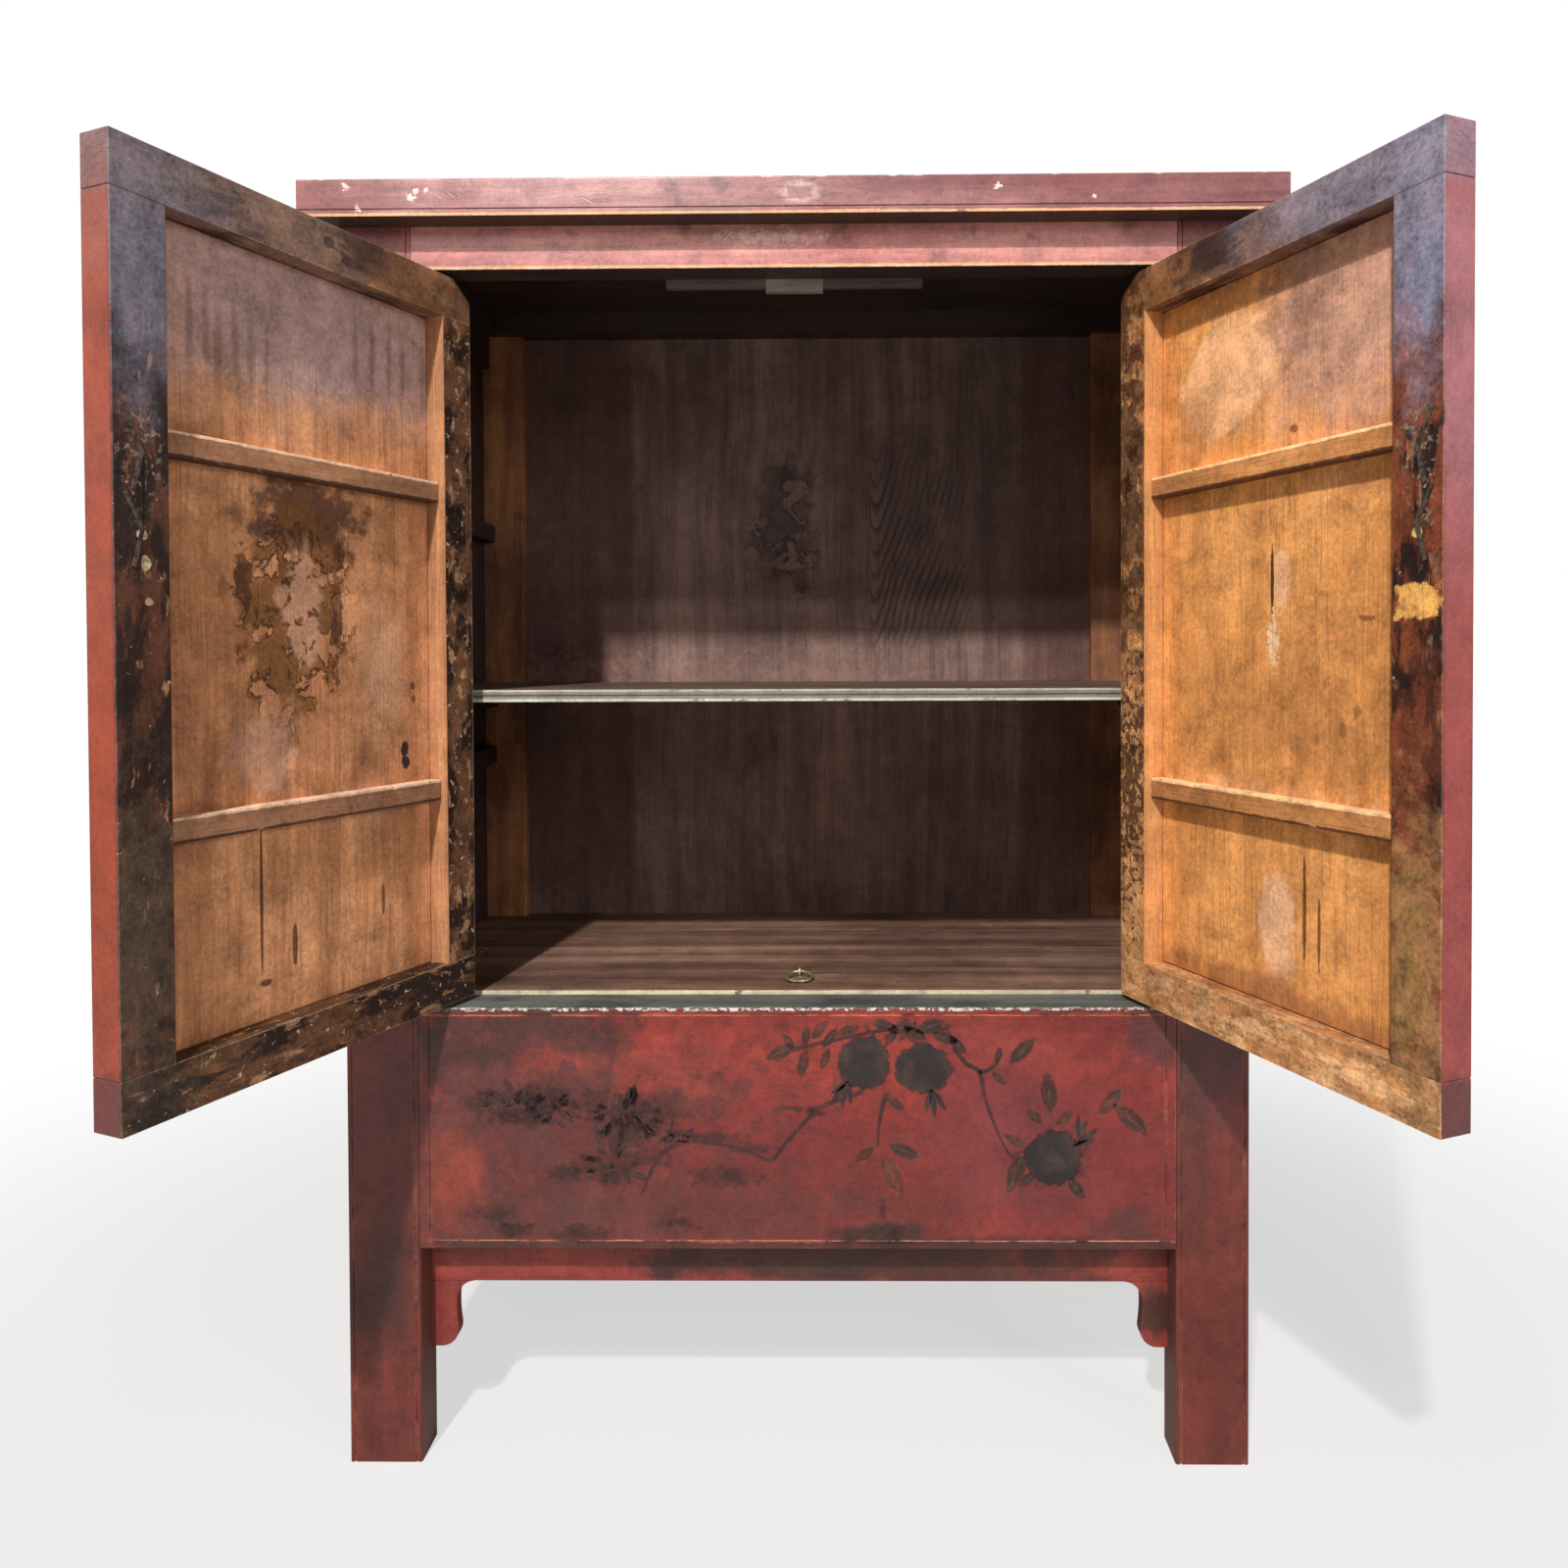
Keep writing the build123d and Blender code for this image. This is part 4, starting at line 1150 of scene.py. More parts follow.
def left_door(nodes: dict[str, bpy.types.Object]) -> DoorLeaf:
    """The left leaf, dull brown inside with a flaked stain in its middle.

    Args:
        nodes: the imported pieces.

    Returns:
        The leaf.
    """
    brown, black, grey = srgb(104, 66, 44), srgb(46, 32, 28), srgb(120, 116, 130)
    # colours of the painted highlight and shadow on the battens
    batten_marks = batten_edges(srgb(232, 192, 158), srgb(78, 50, 38))
    panel_marks = (
        # greyer, paler top of the panel: a painted sheen
        Patch((0.25, 0.02, 1.52), (0.24, 0.06, 0.11), srgb(178, 150, 148), 0.85, 0.35, 9.0, 0.5),
        *(on_panel(along, up, 0.0045, 0.04, srgb(98, 72, 64), 0.45, 0.7, 60.0, 0.7)
          for along, up in ((0.409, 1.476), (0.389, 1.468), (0.374, 1.462), (0.352, 1.470), (0.331, 1.458),
                            (0.310, 1.454), (0.178, 1.504), (0.150, 1.496), (0.121, 1.502), (0.097, 1.494),
                            (0.060, 1.500))),
        on_panel(0.26, 1.28, 0.075, 0.055, srgb(82, 56, 46), 0.85, 0.8, 30.0, 0.3),
        Peeling((0.275, 0.012, 1.165), (0.080, 0.01, 0.13), srgb(132, 86, 46), 0.95, 0.45, 24.0, 0.2,
                rim=srgb(74, 44, 26), level=0.47, flakes=27.0),
        Peeling((0.262, 0.012, 1.175), (0.03, 0.01, 0.065), srgb(196, 148, 116), 0.9, 0.5, 30.0, 0.2,
                rim=srgb(92, 58, 38), level=0.44, flakes=34.0),
        on_panel(0.345, 1.205, 0.010, 0.035, srgb(78, 48, 32), 0.75, 0.8, 60.0),
        on_panel(0.212, 1.175, 0.008, 0.075, srgb(78, 48, 32), 0.7, 0.9, 60.0),
        on_panel(0.318, 1.01, 0.045, 0.045, srgb(204, 156, 130), 0.6, 0.6, 26.0, 0.4),
        on_panel(0.14, 1.10, 0.035, 0.075, srgb(200, 156, 126), 0.55, 0.6, 26.0, 0.4),
        on_panel(0.17, 0.93, 0.05, 0.03, srgb(196, 150, 122), 0.4, 0.6, 26.0, 0.4),
        on_panel(0.352, 1.274, 0.008, 0.009, brown, 0.5, 0.1, soft=0.5),
        on_panel(0.371, 1.194, 0.006, 0.011, brown, 0.5, 0.1, soft=0.5),
        on_panel(0.099, 0.992, 0.007, 0.010, black, 1.0, 0.3, 90.0),
        on_panel(0.098, 0.974, 0.007, 0.009, black, 1.0, 0.3, 90.0),
        on_panel(0.084, 1.076, 0.004, 0.005, brown, 0.9, 0.1),
        on_panel(0.083, 1.058, 0.004, 0.005, brown, 0.9, 0.1),
        on_panel(0.326, 0.832, 0.0022, 0.082, srgb(88, 54, 38), 0.95, 0.12),
        on_panel(0.321, 0.738, 0.008, 0.004, srgb(88, 54, 38), 0.9, 0.3),
        on_panel(0.280, 0.776, 0.0035, 0.026, srgb(88, 54, 38), 0.9, 0.3),
        on_panel(0.140, 0.80, 0.003, 0.02, srgb(88, 54, 38), 0.8, 0.4),
    )
    frame_marks = (
        # bluish grey at the top of the free stile and top rail: a painted glare
        on_frame(0.485, 1.50, 0.05, 0.11, grey, 0.75, 0.5, 20.0, 0.5),
        on_frame(0.490, 1.60, 0.10, 0.05, srgb(124, 112, 120), 0.7, 0.4, 20.0, 0.5),
        on_frame(0.080, 1.605, 0.09, 0.05, srgb(142, 98, 62), 0.55, 0.7, 30.0, 0.4),
        Peeling((0.487, 0.042, 1.32), (0.026, 0.012, 0.062), srgb(146, 128, 106), 0.7, 0.6, 40.0, 0.3,
                rim=srgb(38, 26, 24), level=0.565, flakes=150.0),
        on_frame(0.487, 1.239, 0.006, 0.005, srgb(244, 226, 168), 1.0, 0.2, 90.0),
        on_frame(0.483, 1.210, 0.005, 0.008, srgb(224, 206, 160), 0.9, 0.5, 90.0),
        on_frame(0.480, 1.171, 0.004, 0.004, srgb(190, 160, 130), 0.8, 0.4, 90.0),
        on_frame(0.490, 0.82, 0.05, 0.15, srgb(96, 78, 62), 0.55, 0.8, 34.0, 0.5),
        on_frame(0.247, 1.612, 0.008, 0.007, black, 0.8, 0.4, 60.0),
        on_frame(0.219, 1.598, 0.007, 0.006, black, 0.8, 0.4, 60.0),
    )
    edge_marks = (
        handled_edge(srgb(152, 69, 45)),
        # greyer top of the meeting edge: a painted sheen
        on_edge(1.61, 0.034, srgb(124, 98, 98), 0.85, 0.3, 30.0, 0.2),
        on_edge(1.55, 0.06, srgb(140, 84, 72), 0.5, 0.4, 20.0, 0.6),
        on_edge(0.664, 0.031, srgb(100, 56, 54), 0.85, 0.3, 30.0, 0.2),
    )
    return DoorLeaf(
        Side.LEFT, nodes,
        outside=leaf_lacquer(srgb(222, 178, 146)),
        panel=BareWood(pale=srgb(236, 170, 120), dark=srgb(168, 112, 76), stain=srgb(110, 70, 48), cover=0.18,
                       streaks=0.8),
        battens=BareWood(pale=srgb(188, 136, 100), dark=srgb(132, 92, 68), stain=srgb(88, 62, 48), cover=0.25,
                         edge=srgb(226, 184, 148), edge_amount=1.1),
        rebate=BareWood(pale=srgb(212, 152, 106), dark=srgb(160, 108, 74), stain=srgb(104, 66, 46),
                        cover=0.25, streaks=0.8),
        free_stile=ScuffedFrame(wood_cover=0.2, scuff_cover=0.12, scale=44.0),
        hinge_stile=ScuffedFrame(varnish=srgb(40, 28, 24), brown=srgb(108, 74, 52), wood=srgb(170, 128, 92),
                                 scuff=srgb(206, 184, 154), brown_cover=0.5, wood_cover=0.3,
                                 scuff_cover=0.2, scale=34.0, stretch=0.6),
        top_rail=ScuffedFrame(varnish=srgb(70, 48, 40), brown=srgb(136, 106, 88), wood=srgb(160, 130, 108),
                              scuff=srgb(206, 176, 148), brown_cover=0.65, wood_cover=0.16),
        bottom_rail=ScuffedFrame(varnish=srgb(38, 24, 19), brown=srgb(112, 76, 50), wood=srgb(176, 132, 96),
                                 scuff=srgb(210, 182, 150), brown_cover=0.45, wood_cover=0.28,
                                 scuff_cover=0.2, scale=38.0),
        panel_marks=panel_marks, frame_marks=frame_marks, edge_marks=edge_marks, batten_marks=batten_marks)


def right_door(nodes: dict[str, bpy.types.Object]) -> DoorLeaf:
    """The right leaf, orange-brown inside with pale scrubbed places.

    Args:
        nodes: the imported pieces.

    Returns:
        The leaf.
    """
    brown, pale = srgb(126, 78, 46), srgb(250, 190, 140)
    # colours of the painted highlight and shadow on the battens
    batten_marks = batten_edges(srgb(255, 206, 150), srgb(96, 58, 34))
    panel_marks = (
        # greyer mauve top of the panel: a painted sheen
        Patch((0.37, 0.02, 1.50), (0.12, 0.06, 0.14), srgb(190, 150, 142), 0.65, 0.5, 14.0, 0.6),
        on_panel(0.30, 1.53, 0.05, 0.07, srgb(128, 92, 76), 0.4, 1.2, 50.0, 0.5),
        on_panel(0.178, 1.46, 0.078, 0.072, pale, 0.75, 0.35, 16.0, 0.15),
        on_panel(0.120, 1.41, 0.035, 0.045, srgb(180, 118, 72), 0.5, 0.8, 30.0, 0.4),
        on_panel(0.272, 1.20, 0.015, 0.036, pale, 0.8, 0.15, 40.0, 0.15),
        on_panel(0.2575, 1.20, 0.0028, 0.042, srgb(70, 42, 26), 0.95, 0.3, 80.0),
        on_panel(0.259, 1.13, 0.008, 0.026, srgb(242, 206, 160), 0.9, 1.6, 160.0),
        on_panel(0.268, 0.79, 0.028, 0.06, srgb(240, 186, 146), 0.75, 0.4, 26.0, 0.25),
        on_panel(0.23, 0.94, 0.16, 0.02, srgb(238, 190, 142), 0.5, 1.0, 60.0, 0.4),
        on_panel(0.394, 1.153, 0.010, 0.003, brown, 0.8, 0.9, 90.0, 0.3),
        on_panel(0.342, 1.084, 0.006, 0.008, srgb(166, 106, 60), 0.7, 0.9, 90.0, 0.4),
        on_panel(0.385, 1.052, 0.0055, 0.007, brown, 0.9, 0.8, 90.0, 0.3),
        on_panel(0.365, 1.030, 0.0055, 0.009, brown, 0.9, 0.8, 90.0, 0.3),
        on_panel(0.326, 1.016, 0.005, 0.005, srgb(166, 106, 60), 0.7, 0.9, 90.0, 0.4),
        on_panel(0.160, 1.09, 0.006, 0.022, srgb(174, 114, 66), 0.6, 0.7, 60.0, 0.5),
        on_panel(0.291, 1.377, 0.006, 0.005, brown, 0.85, 0.8, 90.0, 0.3),
        on_panel(0.418, 1.012, 0.009, 0.007, srgb(176, 116, 72), 0.6, 0.7, 80.0, 0.5),
        on_panel(0.416, 1.288, 0.009, 0.009, srgb(176, 116, 72), 0.5, 0.7, 80.0, 0.5),
        on_panel(0.30, 1.02, 0.13, 0.07, srgb(186, 122, 70), 0.45, 0.9, 30.0, 0.7),
        on_panel(0.3095, 0.815, 0.0028, 0.062, srgb(96, 56, 32), 0.9, 0.25, 80.0),
        on_panel(0.3315, 0.795, 0.0024, 0.043, srgb(96, 56, 32), 0.85, 0.25, 80.0),
        on_panel(0.25, 0.70, 0.22, 0.022, srgb(150, 96, 62), 0.6, 0.6, 22.0, 0.5),
    )
    frame_marks = (
        # bluish grey at the top of the free stile and top rail: a painted glare
        on_frame(0.487, 1.53, 0.045, 0.13, srgb(132, 130, 150), 0.85, 0.4, 20.0, 0.5),
        on_frame(0.42, 1.607, 0.16, 0.05, srgb(140, 130, 144), 0.75, 0.4, 16.0, 0.6),
        on_frame(0.060, 1.605, 0.08, 0.05, srgb(160, 106, 62), 0.65, 0.7, 30.0, 0.4),
        Peeling((0.490, 0.042, 1.305), (0.022, 0.012, 0.07), srgb(150, 130, 108), 0.7, 0.7, 40.0, 0.3,
                rim=srgb(38, 26, 24), level=0.57, flakes=150.0),
        on_frame(0.487, 1.235, 0.006, 0.005, srgb(244, 220, 120), 1.0, 0.3, 90.0),
        on_frame(0.487, 1.166, 0.0245, 0.0165, srgb(232, 172, 92), 0.97, 0.3, 90.0, 0.1, 1.0),
        on_frame(0.485, 0.80, 0.034, 0.16, srgb(168, 120, 78), 0.8, 0.7, 26.0, 0.4),
        on_frame(0.478, 0.79, 0.02, 0.10, srgb(146, 120, 62), 0.45, 0.9, 40.0, 0.5),
        on_frame(0.488, 1.04, 0.03, 0.09, srgb(110, 58, 42), 0.5, 1.0, 40.0, 0.5),
        on_frame(0.024, 1.36, 0.04, 0.26, srgb(64, 38, 26), 0.75, 1.6, 36.0, 0.3),
        on_frame(0.024, 0.84, 0.04, 0.20, srgb(214, 158, 104), 0.45, 1.2, 30.0, 0.4),
        on_frame(0.020, 0.93, 0.03, 0.10, srgb(70, 40, 26), 0.85, 2.6, 95.0, 0.2),
    )
    edge_marks = (
        handled_edge(srgb(147, 71, 67)),
        # bluish top and paler upper part of the meeting edge: painted glare
        on_edge(1.61, 0.034, srgb(134, 108, 120), 0.85, 0.3, 30.0, 0.2),
        on_edge(1.42, 0.16, srgb(152, 98, 106), 0.65, 0.4, 14.0, 0.6),
        on_edge(0.662, 0.031, srgb(96, 56, 56), 0.9, 0.3, 30.0, 0.2),
    )
    return DoorLeaf(
        Side.RIGHT, nodes,
        outside=leaf_lacquer(srgb(216, 160, 140)),
        panel=BareWood(pale=srgb(255, 178, 104), dark=srgb(204, 134, 72), stain=srgb(140, 86, 48), cover=0.12,
                       streaks=0.75),
        battens=BareWood(pale=srgb(226, 156, 94), dark=srgb(164, 106, 60), stain=srgb(110, 68, 42),
                         cover=0.22, edge=srgb(250, 204, 152), edge_amount=1.1),
        rebate=BareWood(pale=srgb(240, 176, 112), dark=srgb(196, 132, 80), stain=srgb(140, 88, 52)),
        free_stile=ScuffedFrame(varnish=srgb(38, 22, 18), brown=srgb(136, 70, 44), brown_cover=0.55,
                                wood_cover=0.18, scuff_cover=0.1, scale=40.0),
        hinge_stile=ScuffedFrame(varnish=srgb(52, 30, 20), brown=srgb(166, 110, 66), wood=srgb(204, 144, 92),
                                 scuff=srgb(226, 186, 140), brown_cover=0.72, wood_cover=0.5,
                                 scuff_cover=0.12, scale=30.0, stretch=0.8),
        top_rail=ScuffedFrame(varnish=srgb(58, 38, 32), brown=srgb(128, 96, 80), wood=srgb(160, 126, 102),
                              scuff=srgb(206, 172, 140), brown_cover=0.62, wood_cover=0.14),
        bottom_rail=ScuffedFrame(varnish=srgb(92, 56, 34), brown=srgb(214, 150, 94), wood=srgb(240, 184, 128),
                                 scuff=srgb(245, 206, 160), brown_cover=0.9, wood_cover=0.5,
                                 scuff_cover=0.12, scale=34.0),
        panel_marks=panel_marks, frame_marks=frame_marks, edge_marks=edge_marks, batten_marks=batten_marks)


# --------------------------------------------------------------------------- the painting
@dataclass(frozen=True)
class Ink:
    """Thin old paint through which the lacquer shows."""

    name: str
    dark: Colour
    light: Colour
    rim: Colour
    cover: float
    grit: float
    lift: float
    ragged: float = 0.5
    soft: float = 0.25
    strength: float = 0.92

    def material(self) -> bpy.types.Material:
        """Build the paint.

        Returns:
            The material.
        """
        material = bpy.data.materials.new(self.name + "_paint")
        graph = emptied(material)
        where = graph.add("ShaderNodeTexCoord").outputs["Object"]
        depth = graph.add("ShaderNodeAttribute", attribute_name="tone").outputs["Fac"]
        across = graph.add("ShaderNodeAttribute", attribute_name="across").outputs["Fac"]
        tone = graph.stained(where, self.grit * 0.7, 0.35, 0.15)
        colour = graph.mix(tone, self.dark, self.light)
        outline = graph.product(graph.span(depth, 0.22, 0.10),
                                graph.span(graph.noise(where, 60.0, 3.0), 0.4, 0.6))
        vein = graph.span(graph.math("ABSOLUTE", across), 0.14, 0.04)
        colour = graph.mix(graph.math("MAXIMUM", graph.product(outline, 0.7),
                                      graph.product(vein, 0.35)), colour, self.rim)
        gain = graph.effect("mottle", Vector=where, Depth=0.7)["Gain"]
        colour = graph.vector("MULTIPLY", colour, graph.join(gain, gain, gain))
        shader = graph.add("ShaderNodeBsdfPrincipled")
        graph.feed(shader.inputs["Base Color"], colour)
        graph.feed(shader.inputs["Roughness"], graph.blend(tone, 0.4, 0.6))
        left = graph.stained(where, self.grit, self.cover, 0.16)
        ragged = graph.math("SUBTRACT", graph.noise(where, 90.0, 5.0, 0.7), 0.5)
        edge = graph.span(graph.math("MULTIPLY_ADD", ragged, self.ragged, depth), 0.02, self.soft)
        graph.feed(shader.inputs["Alpha"], graph.product(left, edge, self.strength))
        graph.feed(graph.add("ShaderNodeOutputMaterial").inputs["Surface"], shader.outputs[0])
        return material


class Brush:
    """Paints flat shapes on the front face into one mesh."""

    def __init__(self, face: float, ink: Ink) -> None:
        """Start an empty mesh.

        Args:
            face: depth of the painted face.
            ink: the paint, which says how far in front it lies.
        """
        self.shape = bmesh.new()
        self.tone = self.shape.verts.layers.float.new("tone")
        self.across = self.shape.verts.layers.float.new("across")
        self.ink = ink
        self.plane = face - ink.lift

    def blot(self, x: float, z: float, half_x: float, half_z: float, turn: float = 0.0,
             sharp: bool = False, wobble: float = 0.0) -> None:
        """Add a rounded or pointed shape.

        Args:
            x: middle, across.
            z: middle, up.
            half_x: half its length.
            half_z: half its width.
            turn: angle of its length from the horizontal, in degrees.
            sharp: draw its two ends out to points.
            wobble: unevenness of its outline.
        """
        made = bmesh.ops.create_circle(self.shape, cap_ends=True, cap_tris=True, segments=32, radius=1.0)
        for vertex in made["verts"]:
            angle = math.atan2(vertex.co.y, vertex.co.x)
            vertex[self.tone] = 1.0 - vertex.co.xy.length
            vertex[self.across] = vertex.co.y if sharp else 1.0
            reach = 1.0 + wobble * (math.sin(3 * angle + x * 50) + 0.6 * math.sin(5 * angle + z * 70))
            if sharp:
                vertex.co.y *= max(0.0, 1 - vertex.co.x ** 2) ** 0.45
            vertex.co.x *= half_x * reach
            vertex.co.y *= half_z * reach
        place = (Matrix.Translation((x, self.plane, z)) @ Matrix.Rotation(math.pi / 2, 4, "X")
                 @ Matrix.Rotation(math.radians(turn), 4, "Z"))
        bmesh.ops.transform(self.shape, matrix=place, verts=made["verts"])

    def stroke(self, points: Sequence[tuple[float, float]], width: float, taper: float = 0.6) -> None:
        """Add a smooth brush stroke through a few points.

        Args:
            points: across and up.
            width: width at its start.
            taper: share of the width lost at its end.
        """
        spans = len(points) - 1
        padded = [points[0], *points, points[-1]]
        made = bmesh.ops.create_grid(self.shape, x_segments=spans * 6, y_segments=2, size=1.0)
        for vertex in made["verts"]:
            place = (vertex.co.x + 1) / 2 * spans
            first = min(int(place), spans - 1)
            part = place - first
            before, start, end, after = (Vector(padded[first + step]) for step in range(4))
            slow, bend = 2 * before - 5 * start + 4 * end - after, 3 * start - before - 3 * end + after
            middle = 0.5 * (2 * start + (end - before) * part + slow * part ** 2 + bend * part ** 3)
            ahead = (end - before) + 2 * slow * part + 3 * bend * part ** 2
            side = ahead.orthogonal().normalized()
            reach = vertex.co.y * width / 2 * (1 - taper * place / spans)
            vertex[self.tone] = 1.0 - abs(vertex.co.y)
            vertex[self.across] = 1.0
            spot = middle + side * reach
            vertex.co = (spot.x, self.plane, spot.y)

    def finish(self, body: str, slot: str) -> bpy.types.Object:
        """Make the painted piece.

        Args:
            body: the body it moves with.
            slot: not used.

        Returns:
            The piece.
        """
        self.shape.normal_update()
        bmesh.ops.reverse_faces(self.shape, faces=[face for face in self.shape.faces if face.normal.y > 0])
        mesh = bpy.data.meshes.new("painted_" + self.ink.name)
        self.shape.to_mesh(mesh)
        self.shape.free()
        piece = bpy.data.objects.new(mesh.name, mesh)
        bpy.context.scene.collection.objects.link(piece)
        mesh.materials.append(self.ink.material())
        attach(piece, body)
        log.info("%s added", piece.name)
        return piece


@dataclass(frozen=True)
class PaintedBranch:
    """Fruit branch painted on the lower front, worn thin. Positions are across and up."""

    face: float
    body: str = "carcass"
    slot_name: str = "red_lacquer"
    dusk: Ink = Ink("dusk", srgb(66, 44, 40), srgb(88, 50, 46), srgb(88, 50, 46), 0.7, 40.0, 0.00012,
                    2.2, 0.8, 0.66)
    petal: Ink = Ink("petals", srgb(58, 40, 38), srgb(92, 52, 46), srgb(164, 104, 86), 0.7, 44.0, 0.0002,
                     0.8, 0.35, 0.8)
    stem: Ink = Ink("stems", srgb(60, 34, 32), srgb(92, 46, 40), srgb(140, 80, 64), 0.9, 60.0, 0.00028,
                    0.8, 0.4, 0.88)
    leaf: Ink = Ink("leaves", srgb(58, 39, 34), srgb(104, 54, 44), srgb(166, 96, 78), 0.8, 46.0, 0.00036,
                    0.7, 0.25, 0.85)
    flesh: Ink = Ink("fruit", srgb(34, 25, 26), srgb(72, 50, 44), srgb(74, 44, 40), 1.2, 30.0, 0.00048,
                     0.5, 0.14, 0.95)
    fruit: tuple[tuple[float, float, float, float], ...] = (
        (0.093, 0.556, 0.039, 0.040), (0.174, 0.548, 0.042, 0.037), (0.353, 0.425, 0.040, 0.041))
    stems: tuple[tuple[tuple[float, float], ...], ...] = (
        ((0.092, 0.516), (0.062, 0.506), (0.030, 0.492), (0.004, 0.466), (-0.022, 0.436), (-0.034, 0.421),
         (-0.055, 0.428), (-0.075, 0.436), (-0.105, 0.443), (-0.164, 0.448)),
        ((0.216, 0.578), (0.232, 0.556), (0.251, 0.543), (0.258, 0.510), (0.272, 0.470), (0.292, 0.430),
         (0.318, 0.414)),
        ((0.251, 0.543), (0.262, 0.545), (0.275, 0.556), (0.281, 0.572)),
        ((0.124, 0.514), (0.117, 0.490), (0.113, 0.466), (0.112, 0.440)),
        ((-0.030, 0.560), (-0.004, 0.574), (0.030, 0.582), (0.075, 0.592), (0.130, 0.602), (0.190, 0.598),
         (0.214, 0.582)),
        ((-0.150, 0.452), (-0.178, 0.436), (-0.196, 0.414), (-0.214, 0.372)),
    )
    leaves: tuple[tuple[float, float, float, float], ...] = (
        (-0.022, 0.570, 0.052, 205.0), (-0.010, 0.586, 0.030, 130.0), (0.010, 0.556, 0.046, 258.0),
        (0.014, 0.592, 0.034, 80.0), (0.033, 0.602, 0.040, 48.0), (0.040, 0.562, 0.036, 250.0),
        (0.046, 0.590, 0.040, 55.0), (0.068, 0.600, 0.036, 25.0), (0.120, 0.608, 0.046, 165.0),
        (0.146, 0.604, 0.050, 10.0), (0.164, 0.596, 0.042, 330.0), (0.184, 0.606, 0.054, 20.0),
        (0.204, 0.590, 0.046, 345.0), (0.222, 0.580, 0.040, 310.0), (0.130, 0.590, 0.034, 235.0),
        (0.277, 0.566, 0.030, 78.0), (0.310, 0.572, 0.056, 45.0), (0.278, 0.534, 0.030, 315.0),
        (0.094, 0.430, 0.040, 218.0), (0.148, 0.434, 0.056, 338.0), (0.132, 0.400, 0.070, 296.0),
        (0.136, 0.500, 0.036, 320.0), (0.346, 0.514, 0.066, 95.0), (0.326, 0.482, 0.036, 140.0),
        (0.368, 0.480, 0.036, 40.0), (0.300, 0.448, 0.040, 150.0), (0.300, 0.404, 0.066, 250.0),
        (0.384, 0.382, 0.046, 310.0), (0.318, 0.396, 0.040, 220.0), (0.430, 0.502, 0.058, 50.0),
        (0.458, 0.478, 0.070, 318.0))
    spikes: tuple[tuple[float, float, float, float], ...] = (
        (0.060, 0.522, 0.028, 215.0), (0.058, 0.514, 0.030, 235.0), (0.066, 0.510, 0.030, 255.0),
        (0.074, 0.512, 0.026, 272.0), (0.181, 0.503, 0.030, 258.0), (0.188, 0.500, 0.036, 275.0),
        (0.197, 0.504, 0.030, 300.0), (0.394, 0.446, 0.030, 15.0), (0.398, 0.454, 0.036, 38.0),
        (0.392, 0.462, 0.032, 66.0), (0.386, 0.470, 0.028, 88.0))
    clouds: tuple[tuple[float, float, float, float], ...] = (
        (-0.405, 0.498, 0.070, 0.030), (-0.350, 0.506, 0.062, 0.028), (-0.372, 0.480, 0.060, 0.018),
        (-0.262, 0.500, 0.062, 0.030), (-0.212, 0.484, 0.058, 0.038), (-0.235, 0.462, 0.060, 0.028),
        (-0.255, 0.408, 0.062, 0.026), (-0.205, 0.425, 0.045, 0.020), (-0.100, 0.398, 0.070, 0.020),
        (-0.125, 0.452, 0.070, 0.013), (-0.062, 0.436, 0.046, 0.010), (-0.320, 0.402, 0.040, 0.018),
        (-0.418, 0.345, 0.042, 0.020), (-0.390, 0.325, 0.036, 0.014), (-0.300, 0.320, 0.054, 0.016),
        (0.010, 0.492, 0.036, 0.006), (0.022, 0.486, 0.024, 0.008), (0.352, 0.425, 0.062, 0.052),
        (-0.160, 0.332, 0.036, 0.014), (0.118, 0.352, 0.006, 0.024), (0.108, 0.316, 0.056, 0.018))

    def petals(self) -> Brush:
        """Small overlapping petals and leaves of the worn flowers, turned out from their middles.

        Returns:
            The brush that painted them.
        """
        brush = Brush(self.face, self.petal)
        chance = random.Random(11)
        for middle_x, middle_z, wide, high, count in (
                (-0.385, 0.500, 0.060, 0.022, 26), (-0.335, 0.495, 0.040, 0.026, 16),
                (-0.235, 0.482, 0.050, 0.034, 40), (-0.250, 0.412, 0.050, 0.024, 22),
                (-0.165, 0.455, 0.040, 0.016, 8), (0.150, 0.600, 0.075, 0.010, 16)):
            for _ in range(count):
                turn, reach = chance.uniform(0, math.tau), math.sqrt(chance.uniform(0.02, 1.0))
                x = middle_x + math.cos(turn) * reach * wide
                z = middle_z + math.sin(turn) * reach * high
                length = chance.uniform(0.016, 0.036)
                brush.blot(x, z, length / 2, length * chance.uniform(0.13, 0.2),
                           math.degrees(turn) + chance.uniform(-40, 40), sharp=True)
        return brush

    def build(self) -> None:
        """Paint clouds, petals, stems, leaves and fruit, each as one piece."""
        shade = Brush(self.face, self.dusk)
        for cloud in self.clouds:
            shade.blot(*cloud, wobble=0.08)
        wood = Brush(self.face, self.stem)
        for points in self.stems:
            wood.stroke(points, 0.009)
        green = Brush(self.face, self.leaf)
        for x, z, length, turn in self.leaves:
            green.blot(x, z, length / 2, length * 0.19, turn, sharp=True)
        round_fruit = Brush(self.face, self.flesh)
        for x, z, length, turn in self.spikes:
            round_fruit.blot(x, z, length * 0.6, length * 0.13, turn, sharp=True)
        for berry in self.fruit:
            round_fruit.blot(*berry, wobble=0.022)
        for brush in (shade, self.petals(), wood, green, round_fruit):
            brush.finish(self.body, self.slot_name)


# --------------------------------------------------------------------------- the carcass
def on_front(across: float, up: float, wide: float, high: float, *look: object) -> Patch:
    """Patch on the front face of the carcass, at a place across and up."""
    return Patch((across, FRONT_FACE, up), (wide, 0.02, high), *look)


